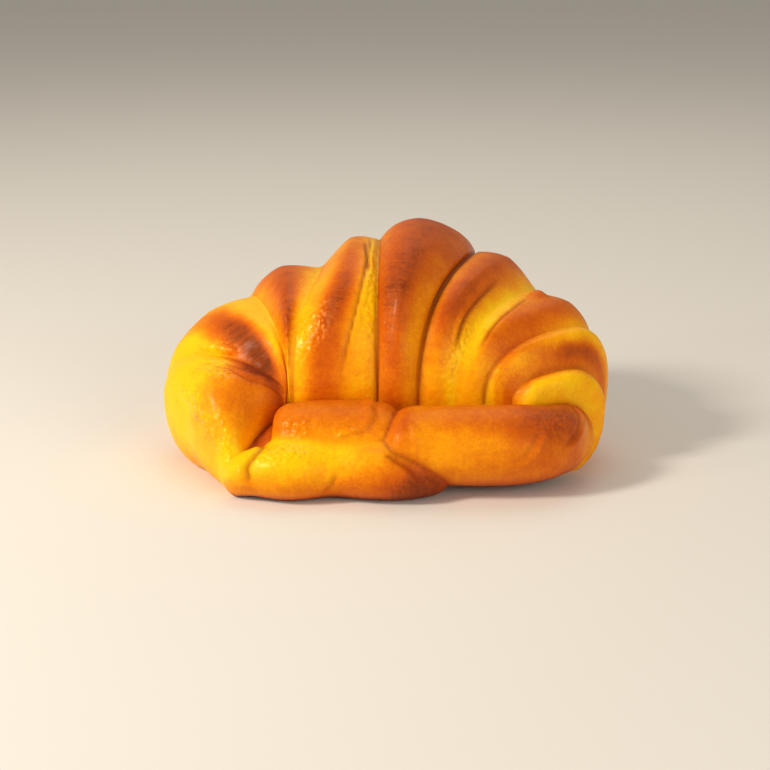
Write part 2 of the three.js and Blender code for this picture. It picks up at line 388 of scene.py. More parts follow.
CREASES: dict[Zone, tuple[Crease, ...]] = {
    Zone.LIMB: (
        Crease(((0.97, 0.04), (0.84, 0.22), (0.72, 0.42), (0.68, 0.60), (0.70, 0.78), (0.80, 0.90),
               (0.93, 1.02)), 0.8, 0.9, 0.6, 0.35),
        Crease(((0.70, 1.05), (0.73, 1.15), (0.81, 1.34)), 0.5, 0.6, 0.35, 0.1),
    ),
    Zone.LEFT_SHOULDER: (
        Crease(((0.02, 0.78), (0.02, 0.94), (0.02, 1.06), (0.02, 1.22)), 0.8, 0.8, 1.0, 0.1),
    ),
    Zone.LEFT_CHEEK: (
        Crease(((0.57, 0.02), (0.58, 0.10), (0.62, 0.22), (0.70, 0.39), (0.78, 0.60), (0.81, 0.73),
               (0.84, 0.92), (0.86, 1.15)), 0.9, 0.55, 0.35, 0.6),
        Crease(((0.86, 0.64), (0.83, 0.74), (0.78, 0.90), (0.76, 1.02)), 1.0, 0.45, 0.4, 0.9),
    ),
    Zone.RIGHT_CHEEK: (
        Crease(((0.82, 0.30), (0.73, 0.48), (0.72, 0.65), (0.72, 0.78), (0.70, 0.95)), 1.0, 0.55, -0.3,
               1.0),
        Crease(((0.02, 0.40), (0.02, 0.60), (0.02, 0.90), (0.02, 1.30)), 0.8, 0.7, 0.0, 0.9),
    ),
    Zone.RIGHT_FLANK: (
        Crease(((0.58, 0.36), (0.51, 0.51), (0.39, 0.63), (0.36, 0.74), (0.27, 0.88), (0.15, 1.05)),
               0.7, 0.55, 0.4, 0.8),
    ),
    Zone.RIGHT_HORN: (
        Crease(((0.76, 0.15), (0.52, 0.19), (0.33, 0.24), (0.18, 0.28)), 0.8, 0.7, 0.5, 0.3),
        Crease(((0.60, 0.12), (0.15, 0.15), (-0.13, 0.18)), 0.6, 0.8, 0.5, 0.1),
        Crease(((0.36, 0.38), (0.17, 0.40), (-0.02, 0.43)), 0.35, 0.7, 0.4, 0.1),
        Crease(((0.50, 0.915), (0.37, 0.90), (0.15, 0.885)), 0.3, 0.6, 0.35, 0.1),
    ),
    Zone.LEFT_LOWER: (
        Crease(((0.95, 0.18), (0.67, 0.15), (0.40, 0.12), (0.10, 0.12)), 1.0, 0.8, 0.4, 0.7),
        Crease(((0.0, 0.485), (-0.15, 0.46), (-0.35, 0.42)), 0.7, 0.9, 0.3, 0.2),
        Crease(((0.55, 0.72), (0.45, 0.755), (0.31, 0.79), (0.10, 0.82)), 0.6, 0.9, 0.5, 0.8),
    ),
    Zone.LEFT_UPPER: (
        Crease(((0.80, 0.80), (0.60, 0.81), (0.40, 0.80), (0.22, 0.76), (0.10, 0.69), (0.05, 0.60)),
               0.3, 0.9, 0.7, 0.0),
    ),
}

PATCHES: dict[Zone, tuple[Patch, ...]] = {
    Zone.LIMB: (
        Patch(Effect.BAKE, 0.5, 1.80, 1.6, 0.62, -0.27),
        Patch(Effect.BAKE, 0.95, 0.60, 0.22, 0.35, 0.30),
        # A paler lip where the shoulder laps the limb: partly pale stretched dough, partly painted highlight
        # on its edge.
        Patch(Effect.BAKE, 0.90, 1.02, 0.07, 0.22, -0.40),
        Patch(Effect.SWELL, 0.91, 1.02, 0.05, 0.20, 0.7),
        Patch(Effect.SWELL, 0.35, 1.22, 0.40, 0.16, 0.5),
        Patch(Effect.BLISTER, 0.36, 1.50, 0.24, 0.24, 1.0),
        Patch(Effect.BLISTER, 0.66, 1.55, 0.14, 0.12, 1.0),
        Patch(Effect.BLISTER, 0.78, 0.98, 0.14, 0.14, 0.9),
    ),
    Zone.LEFT_SHOULDER: (
        Patch(Effect.BAKE, 0.1, 1.70, 0.5, 0.60, -0.25),
        Patch(Effect.BAKE, 0.10, 1.35, 0.40, 0.35, -0.35),
        Patch(Effect.BLISTER, 0.10, 0.95, 0.10, 0.14, 0.6),
    ),
    Zone.LEFT_FLANK: (
        Patch(Effect.BLISTER, 0.2, 0.40, 0.25, 0.22, 0.8),
        Patch(Effect.BLISTER, 0.55, 0.42, 0.20, 0.22, 0.8),
    ),
    Zone.LEFT_CHEEK: (
        Patch(Effect.BLISTER, 0.2, 0.38, 0.22, 0.18, 0.9),
        Patch(Effect.BLISTER, 0.88, 0.55, 0.14, 0.50, 0.40),
    ),
    Zone.CROWN: (
        Patch(Effect.BAKE, 0.10, 0.55, 0.16, 0.35, 0.10),
        Patch(Effect.BLISTER, 0.95, 1.00, 0.08, 0.30, 0.45),
        Patch(Effect.BLISTER, 0.12, 0.50, 0.10, 0.30, 0.4),
    ),
    Zone.RIGHT_CHEEK: (
        Patch(Effect.BLISTER, 0.80, 0.32, 0.20, 0.25, 0.6),
    ),
    Zone.RIGHT_FLANK: (
        Patch(Effect.SWELL, 0.24, 1.04, 0.14, 0.065, 1.9),
        Patch(Effect.BAKE, 0.24, 1.03, 0.16, 0.08, 0.30),
    ),
    Zone.RIGHT_HORN: (
        Patch(Effect.BAKE, 0.58, 0.35, 0.40, 0.17, 0.16),
        Patch(Effect.BAKE, 0.15, 0.66, 0.35, 0.22, -0.14),
        Patch(Effect.BAKE, 0.15, 0.17, 0.50, 0.06, -0.30),
        Patch(Effect.BAKE, 0.56, 0.97, 0.60, 0.08, 0.24),
        Patch(Effect.BLISTER, 0.50, 0.28, 0.30, 0.10, 0.5),
    ),
    Zone.LEFT_LOWER: (
        # A browner end under the right horn: partly baked, partly painted shadow cast by the horn.
        Patch(Effect.BAKE, -0.10, 0.88, 0.9, 0.15, 0.32),
        Patch(Effect.SWELL, 0.28, 0.07, 0.35, 0.05, 1.0),
        Patch(Effect.BAKE, 0.30, 0.42, 0.45, 0.32, -0.24),
        Patch(Effect.BLISTER, 0.60, 0.24, 0.25, 0.12, 0.8),
    ),
    Zone.LEFT_UPPER: (
        Patch(Effect.BLISTER, 0.30, 0.22, 0.25, 0.14, 0.8),
        Patch(Effect.BLISTER, 0.20, 0.60, 0.20, 0.12, 0.7),
    ),
}

# The last number of each roll darkens its underside: partly its baked bottom, partly painted shade beneath
# it.
ROLL_BROWNING: dict[Zone, RollBrowning] = {
    Zone.RIGHT_HORN: RollBrowning(0.70, 0.28, 0.05, 0.40),
    Zone.LEFT_LOWER: RollBrowning(0.28, 0.76, -0.36, 0.86),
    Zone.LEFT_UPPER: RollBrowning(0.30, 0.28, 0.24, 0.0),
    # The core shows only deep in the hollows behind the horns; its dark brown is partly painted shade there.
    Zone.CORE: RollBrowning(0.74, 0.74, 0.0, 0.0),
}


@dataclass
class Skin:
    """A mesh in millimetres that knows where on the dough each vertex lies.

    across and along run over a band from edge to edge and up its arch (0 at
    the foot, 1 at the crest, 2 at the back), and over a roll from its
    underside, -1, to its top, 1, and from its start, 0, to its end, 1. Each
    vertex has one place for each roll, with a weight, as rolls run together;
    a band's vertices use the first. A further value, from 0 to 1, says how deep
    in a crease or groove a vertex lies, and so how far its colour is darkened
    to red-brown: partly the dough's red-brown underside, partly painted shade.
    dough is its place on the unrolled dough, which the wrinkles and streaks
    follow.
    """
    points: np.ndarray
    faces: np.ndarray
    zone: np.ndarray
    across: np.ndarray
    along: np.ndarray
    weight: np.ndarray
    # darkening to red-brown in creases and grooves: partly the dough's underside, partly painted shade
    crease_red_and_shade: np.ndarray
    dough: np.ndarray

    def joined(self, other: "Skin") -> "Skin":
        """Return this skin and another as one."""
        return Skin(
            np.vstack([self.points, other.points]),
            np.vstack([self.faces, other.faces + len(self.points)]),
            *(np.concatenate([getattr(self, name), getattr(other, name)])
              for name in ("zone", "across", "along", "weight", "crease_red_and_shade", "dough")))

    def near(self, other: "Skin", reach: float) -> np.ndarray:
        """Say how near each vertex lies to another skin.

        Args:
            other: the skin it may touch.
            reach: the distance over which nearness falls off, in millimetres.

        Returns:
            1 where the skins touch, falling to 0.
        """
        tree = BVHTree.FromPolygons(other.points.tolist(), polygons(other.faces))
        limit = 4 * reach
        found = [tree.find_nearest(point, limit)[3] for point in self.points.tolist()]
        return np.exp(-np.array([limit if gap is None else gap for gap in found]) / reach)

    def raised(self, height: np.ndarray) -> np.ndarray:
        """Return the points moved outward by a height for each vertex."""
        return self.points + skin_normals(self.points, self.faces) * height[:, None]


def polygons(faces: np.ndarray) -> list[list[int]]:
    """Turn faces of four corners into lists, with three where two are one."""
    return [[a, b, c] if c == d else [a, b, c, d] for a, b, c, d in faces.tolist()]


def one_layer(values: np.ndarray, fill: float) -> np.ndarray:
    """Put values in the first of the layers and fill the others."""
    return np.stack([values] + [np.full(len(values), fill)] * (len(ROLLS) - 1), axis=1)


def skin_normals(points: np.ndarray, faces: np.ndarray) -> np.ndarray:
    """Average the face normals round each vertex.

    Args:
        points: vertex positions.
        faces: four vertex numbers a face.

    Returns:
        One unit normal for each vertex.
    """
    corners = points[faces]
    face_normals = np.cross(corners[:, 2] - corners[:, 0], corners[:, 3] - corners[:, 1])
    normals = np.zeros_like(points)
    for k in range(4):
        np.add.at(normals, faces[:, k], face_normals)
    return normals / np.maximum(np.linalg.norm(normals, axis=1), 1e-12)[:, None]


def spaced(points: np.ndarray, axis: int) -> np.ndarray:
    """Return the distance from each point to the next along an axis."""
    return np.linalg.norm(np.diff(points, axis=axis), axis=-1)


class Web:
    """The edges of a mesh, for spreading values over neighbours."""

    def __init__(self, faces: np.ndarray, count: int) -> None:
        """Collect the edges.

        Args:
            faces: four vertex numbers a face.
            count: how many vertices there are.
        """
        edges = np.vstack([faces[:, [k, (k + 1) % 4]] for k in range(4)])
        edges = edges[edges[:, 0] != edges[:, 1]]
        self.start = np.concatenate([edges[:, 0], edges[:, 1]])
        self.end = np.concatenate([edges[:, 1], edges[:, 0]])
        self.size = count
        self.valence = np.maximum(np.bincount(self.start, minlength=count), 1)

    def spread(self, values: np.ndarray, rounds: int = 1) -> np.ndarray:
        """Replace each vertex's value by the average of its neighbours'.

        Args:
            values: one value, or a row of them, for each vertex.
            rounds: how many times to do so.

        Returns:
            The averages.
        """
        if values.ndim > 1:
            return np.stack([self.spread(column, rounds) for column in values.T], axis=1)
        for _ in range(rounds):
            values = np.bincount(self.start, values[self.end], self.size) / self.valence
        return values


# ---------------------------------------------------------------- the crescent

@dataclass
class Crescent:
    """The thick body: a fan of arches with a swollen band between each two.

    u runs along an arch: 0 at the foot, 1 at the crest, 2 at the back and 3
    where the base begins. Its sizes are rows of vertices, millimetres or, where
    the name says so, shares. A Span is where a change begins and where it ends.
    """
    front_rows: int = 72
    back_rows: int = 46
    under_rows: int = 14
    base_rows: int = 4
    wall_rows: int = 4
    even_stations: float = 0.35
    tangent_step: float = 0.01
    front_squareness: float = 2.35
    back_squareness: float = 2.2
    base_inset: float = 13.0
    base_inset_share: float = 0.45
    foot_lift: float = 0.28
    full_lift_at: float = 0.55
    lift_power: float = 1.1
    back_lift_loss: float = 0.35
    groove: float = 0.5
    groove_width: float = 0.7
    # how far the seams' painted red-brown shade reaches from the groove, in millimetres
    groove_red_shade: float = 1.2
    groove_fade: Span = (1.2, 2.4)
    crease_fade: float = 0.25
    soft_reach: float = 5.5
    soft_blur: float = 2.6
    soft_rounds: int = 2
    soft_change: Span = (0.05, 0.75)
    relief_above: Span = (0.5, 5.0)
    streak_shift: float = 37.0

    def _stations(self) -> tuple[np.ndarray, np.ndarray, np.ndarray]:
        """Place the stations, closer together near the seams.

        Returns:
            Each station's place in seams, its band's number and its share
            of the way across that band.
        """
        places, numbers, shares = [], [], []
        for number, band in enumerate(BANDS):
            share = crowded(np.arange(band.stations) / band.stations, self.even_stations)
            places.append(band.start + (band.end - band.start) * share)
            numbers.append(np.full(band.stations, number))
            shares.append(share)
        places.append(np.array([float(len(SEAMS) - 1)]))
        numbers.append(np.array([len(BANDS) - 1]))
        shares.append(np.array([1.0]))
        return np.concatenate(places), np.concatenate(numbers), np.concatenate(shares)

    def _swell(self, number: np.ndarray, share: np.ndarray) -> np.ndarray:
        """Work out how far each station swells.

        Args:
            number: each station's band.
            share: each station's share of the way across its band.

        Returns:
            The swell in millimetres.
        """
        def shoulder(x: np.ndarray, shape: float) -> np.ndarray:
            """Rise from 0 to 1, steep at first."""
            return (1 - (1 - np.clip(x, 0, 1)) ** shape) ** (1 / shape)

        swell = np.zeros(len(share))
        for k, band in enumerate(BANDS):
            here = number == k
            t = share[here]
            swell[here] = (band.lift * shoulder(t / band.rise, band.rise_shape)
                           * shoulder((1 - t) / band.fall, band.fall_shape))
        return swell

    def _lift_share(self, u: float) -> float:
        """Work out how much of the swell shows on one row.

        Args:
            u: the row's place along the arches.

        Returns:
            A share of the full swell.
        """
        if u < 1:
            return self.foot_lift + (1 - self.foot_lift) * min(u / self.full_lift_at, 1) ** self.lift_power
        if u < 2:
            return 1 - self.back_lift_loss * (u - 1) ** 2
        return (1 - self.back_lift_loss) * max(math.cos((u - 2) * math.pi / 2), 0)

    def _arch(self, rails: dict[str, np.ndarray], u: float) -> np.ndarray:
        """Return the bare arches' points at u for all stations.

        Args:
            rails: foot, crest and back of each station, its inward direction
                in plan and the inset of its base.
            u: 0 to 1 up the front, 1 to 2 down the back, 2 to 3 under.

        Returns:
            One point for each station.
        """
        foot, crest, back = rails["foot"], rails["crest"], rails["back"]
        angle = min(max(u - min(math.floor(u), 2), 0), 1) * math.pi / 2
        cos, sin = max(math.cos(angle), 0), max(math.sin(angle), 0)
        if u >= 2:
            points = back + rails["inward"] * rails["inset"] * (1 - cos)
            points[:, 2] = back[:, 2] * (1 - sin)
            return points
        ends = (2 * foot - crest, foot, crest, back, 2 * back - crest)
        if u < 1:
            points = curve(*ends[:4], 1 - cos ** (2 / self.front_squareness))
            points[:, 2] = foot[:, 2] + (crest - foot)[:, 2] * sin ** (2 / self.front_squareness)
        else:
            points = curve(*ends[1:], sin ** (2 / self.back_squareness))
            points[:, 2] = back[:, 2] + (crest - back)[:, 2] * cos ** (2 / self.back_squareness)
        return points

    def _rows(self) -> list[float]:
        """List the values of u of the swollen rows, foot to base."""
        parts = (self.front_rows, self.back_rows, self.under_rows)
        return [start + i / count for start, count in enumerate(parts) for i in range(count)] + [3.0]

    def build(self) -> Skin:
        """Build the crescent's skin.

        Returns:
            A closed skin in millimetres, facing out.
        """
        place, number, share = self._stations()
        rails = {name: smooth_path(np.array([getattr(s, name) for s in SEAMS], float), place)
                 for name in ("foot", "crest", "back")}
        inward = (rails["foot"] - rails["back"]) * (1, 1, 0)
        depth = np.linalg.norm(inward, axis=1)[:, None]
        rails["inward"] = inward / depth
        rails["inset"] = np.minimum(self.base_inset, self.base_inset_share * depth)
        swell = self._swell(number, share)
        u_rows = self._rows()
        rows = []
        for u in u_rows:
            ahead = self._arch(rails, min(u + self.tangent_step, 3))
            tangent = ahead - self._arch(rails, max(u - self.tangent_step, 0))
            along = -(tangent * rails["inward"]).sum(axis=1)
            amount = swell * self._lift_share(u) / (np.hypot(along, tangent[:, 2]) + 1e-9)
            points = self._arch(rails, u) + rails["inward"] * (amount * tangent[:, 2])[:, None]
            points[:, 2] += amount * along
            rows.append(above_ground(points))
        heel = rows[-1] * (1, 1, 0)
        toe = rails["foot"] * (1, 1, 0)
        rows += [heel + (toe - heel) * i / self.base_rows for i in range(1, self.base_rows)]
        rows += [toe + (rails["foot"] - toe) * i / self.wall_rows for i in range(self.wall_rows)]
        grid = np.stack(rows, axis=1)
        dressed = np.arange(grid.shape[1]) < len(u_rows)
        u_grid = np.array(u_rows + [3.0] * (self.base_rows - 1) + [0.0] * self.wall_rows)
        soft, near = self._softness(grid, place, u_grid)
        grid = self._run_together(grid, soft * near * dressed)
        return self._skin(grid, u_grid, place, number, share, soft, dressed)

    def _spans(self, grid: np.ndarray) -> np.ndarray:
        """Return how far across each row each station lies, in millimetres."""
        return np.vstack([np.zeros(grid.shape[1]), np.cumsum(spaced(grid, 0), axis=0)])

    def _seam_gaps(self, spans: np.ndarray, place: np.ndarray) -> list[tuple[Seam, np.ndarray]]:
        """Measure how far each vertex lies from each seam between two bands.

        Args:
            spans: how far across each row each station lies.
            place: each station's place in seams.

        Returns:
            Each seam with the distances from it, station by row.
        """
        return [(SEAMS[band.start], np.abs(spans - spans[int(np.argmin(np.abs(place - band.start)))]))
                for band in BANDS[1:]]

    def _softness(self, grid: np.ndarray, place: np.ndarray,
                  u_rows: np.ndarray) -> tuple[np.ndarray, np.ndarray]:
        """Return how soft the nearest seam is and how near it lies.

        Args:
            grid: station by row by coordinate.
            place: each station's place in seams.
            u_rows: u of each row.

        Returns:
            Both as station by row arrays, from 0 to 1.
        """
        nearest = np.full(grid.shape[:2], FAR)
        soft = np.zeros(grid.shape[:2])
        rise = smoothstep(u_rows, *self.soft_change)
        for seam, gap in self._seam_gaps(self._spans(grid), place):
            seam_soft = seam.soft_foot + (seam.soft_crest - seam.soft_foot) * rise
            soft = np.where(gap < nearest, seam_soft, soft)
            nearest = np.minimum(gap, nearest)
        return soft, bell(nearest, 0, self.soft_reach)

    def _run_together(self, grid: np.ndarray, weight: np.ndarray) -> np.ndarray:
        """Let neighbouring bands run together where their seam is soft.

        Each row of stations is evened out as heat spreads along a rod, with
        the whole spread solved at once.

        Args:
            grid: station by row by coordinate.
            weight: how much each vertex gives way, 0 to 1.

        Returns:
            The softened grid.
        """
        step = spaced(grid, 0) + 1e-6
        area = np.zeros(weight.shape)
        area[:-1] += step / 2
        area[1:] += step / 2
        flow = (self.soft_blur ** 2 / 2) * (weight[1:] + weight[:-1]) / 2 / step
        closed = np.zeros(grid.shape[1])
        lower, upper = np.vstack([closed, -flow]), np.vstack([-flow, closed])
        for _ in range(self.soft_rounds):
            middle = area - lower - upper
            right = grid * area[..., None]
            for j in range(1, len(grid)):
                ratio = lower[j] / middle[j - 1]
                middle[j] = middle[j] - ratio * upper[j - 1]
                right[j] = right[j] - ratio[:, None] * right[j - 1]
            softened = np.empty_like(grid)
            softened[-1] = right[-1] / middle[-1][:, None]
            for j in range(len(grid) - 2, -1, -1):
                softened[j] = (right[j] - upper[j][:, None] * softened[j + 1]) / middle[j][:, None]
            grid = softened
        return grid

    def _faces(self, stations: int, rows: int) -> np.ndarray:
        """Number the corners of the crescent's faces.

        Args:
            stations: how many stations the grid has.
            rows: how many vertices go round at each.

        Returns:
            Four corners a face: the wall, then a fan to a pole at either end.
        """
        j, i = np.meshgrid(np.arange(stations - 1), np.arange(rows), indexing="ij")
        nxt = (i + 1) % rows
        faces = [np.stack([j * rows + i, (j + 1) * rows + i, (j + 1) * rows + nxt, j * rows + nxt],
                          axis=-1).reshape(-1, 4)]
        for pole, (station, order) in enumerate(((0, 1), (stations - 1, -1)), stations * rows):
            ring = (np.arange(rows) + station * rows)[::order]
            middle = np.full(rows, pole)
            faces.append(np.stack([ring, np.roll(ring, -1), middle, middle], axis=-1))
        return np.vstack(faces)

    def _skin(self, grid: np.ndarray, u_rows: np.ndarray, place: np.ndarray, number: np.ndarray,
              share: np.ndarray, soft: np.ndarray, dressed: np.ndarray) -> Skin:
        """Turn the grid of points into a skin, with grooves and creases.

        Args:
            grid: station by row by coordinate.
            u_rows: u of each row.
            place: each station's place in seams.
            number: each station's band.
            share: each station's share of the way across its band.
            soft: how soft the nearest seam is.
            dressed: which rows carry the swollen surface.

        Returns:
            The crescent's skin.
        """
        stations, rows = grid.shape[:2]
        spans = self._spans(grid)
        travelled = np.hstack([np.zeros((stations, 1)), np.cumsum(spaced(grid, 1), axis=1)])
        relief, crease_red_and_shade = self._grooves(spans, place, soft, u_rows)
        crease_relief, inner_crease_red_and_shade = self._creases(spans, number, share, u_rows)

        def padded(array: np.ndarray) -> np.ndarray:
            """Give the two end poles the values of the end stations."""
            return np.concatenate([array, array[:1], array[-1:]])

        band = np.repeat(number, rows)
        dough = np.stack([spans.ravel(), travelled.ravel(), band * self.streak_shift], axis=1)
        skin = Skin(np.vstack([grid.reshape(-1, 3), grid[0].mean(axis=0), grid[-1].mean(axis=0)]),
                    self._faces(stations, rows), one_layer(padded(band), 0),
                    one_layer(padded(np.repeat(share, rows)), 0.0),
                    one_layer(padded(np.tile(u_rows, stations)), 0.0),
                    one_layer(np.ones(len(band) + 2), 0.0),
                    padded((np.maximum(crease_red_and_shade, inner_crease_red_and_shade) * dressed).ravel()), padded(dough))
        lift = padded(((relief + crease_relief) * dressed).ravel())
        skin.points = above_ground(skin.raised(lift * smoothstep(skin.points[:, 2], *self.relief_above)))
        return skin

    def _grooves(self, spans: np.ndarray, place: np.ndarray, soft: np.ndarray,
                 u_rows: np.ndarray) -> tuple[np.ndarray, np.ndarray]:
        """Return the height of the seams' grooves, and the painted red-brown shade in them.

        Args:
            spans: how far across each row each station lies.
            place: each station's place in seams.
            soft: how soft the nearest seam is.
            u_rows: u of each row.

        Returns:
            Outward height in millimetres, and painted red-brown shade from 0 to 1.
        """
        gap = np.min([gap for _, gap in self._seam_gaps(spans, place)], axis=0)
        crisp = (1 - soft) * (1 - smoothstep(u_rows, *self.groove_fade))
        # The crisp seams are darkened to red-brown, painted shade in their grooves.
        return -self.groove * crisp * bell(gap, 0, self.groove_width), crisp * np.exp(-gap / self.groove_red_shade)

    def _creases(self, spans: np.ndarray, number: np.ndarray, share: np.ndarray,
                 u_rows: np.ndarray) -> tuple[np.ndarray, np.ndarray]:
        """Return the height of the creases within bands, and their red-brown darkening, partly painted
        shade.

        Args:
            spans: how far across each row each station lies.
            number: each station's band.
            share: each station's share of the way across its band.
            u_rows: u of each row.

        Returns:
            Outward height in millimetres, and red-brown darkening from 0 to 1, partly painted shade.
        """
        relief, crease_red_and_shade = np.zeros(spans.shape), np.zeros(spans.shape)
        on_bands = [(zone, crease) for zone in CREASES if zone.roll < 0 for crease in CREASES[zone]]
        for zone, crease in on_bands:
            here = np.flatnonzero(number == zone.value)
            low, high = crease.places[0][1], crease.places[-1][1]
            fade = self.crease_fade * (high - low)
            for row in np.flatnonzero((u_rows > low) & (u_rows < high)):
                u = u_rows[row]
                side = spans[here, row] - np.interp(crease.across_at(u), share[here], spans[here, row])
                shown = smoothstep(u, low, low + fade) * (1 - smoothstep(u, high - fade, high))
                relief[here, row] += shown * crease.relief(side)
                crease_red_and_shade[here, row] = np.maximum(crease_red_and_shade[here, row], shown * crease.red_and_shade_at(side))
        return relief, crease_red_and_shade


# ---------------------------------------------------------------- the horns

@dataclass
class Tube:
    """One roll's surface, as rings of points from its start to its end."""
    rings: np.ndarray
    poles: np.ndarray
    share: np.ndarray
    angle: np.ndarray

    def surface(self) -> tuple[np.ndarray, np.ndarray]:
        """Return the closed surface's points and its faces of four corners."""
        count, sides = self.rings.shape[:2]
        j, i = np.meshgrid(np.arange(count - 1), np.arange(sides), indexing="ij")
        nxt = (i + 1) % sides
        walls = np.stack([j * sides + i, j * sides + nxt, (j + 1) * sides + nxt,
                          (j + 1) * sides + i], axis=-1).reshape(-1, 4)
        head = np.arange(sides)
        tail = head + (count - 1) * sides
        first, last = np.full(sides, count * sides), np.full(sides, count * sides + 1)
        start = np.stack([np.roll(head, -1), head, first, first], axis=-1)
        end = np.stack([tail, np.roll(tail, -1), last, last], axis=-1)
        return np.vstack([self.rings.reshape(-1, 3), self.poles]), np.vstack([walls, start, end])

    def places(self, points: np.ndarray) -> tuple[np.ndarray, np.ndarray, np.ndarray]:
        """Find the nearest place on the roll of each point.

        Args:
            points: the points to look up.

        Returns:
            Distance, place round the roll and place along it.
        """
        surface, faces = self.surface()
        tree = BVHTree.FromPolygons(surface.tolist(), polygons(faces))
        found = [tree.find_nearest(point) for point in points.tolist()]
        face = np.array([entry[2] for entry in found])
        count, sides = self.rings.shape[:2]
        ring = np.where(face < (count - 1) * sides, face // sides,
                        np.where(face < count * sides, 0, count - 1))
        turn = np.sin(self.angle[face % sides] + math.pi / sides)
        return np.array([entry[3] for entry in found]), np.arcsin(turn) / (math.pi / 2), self.share[ring]


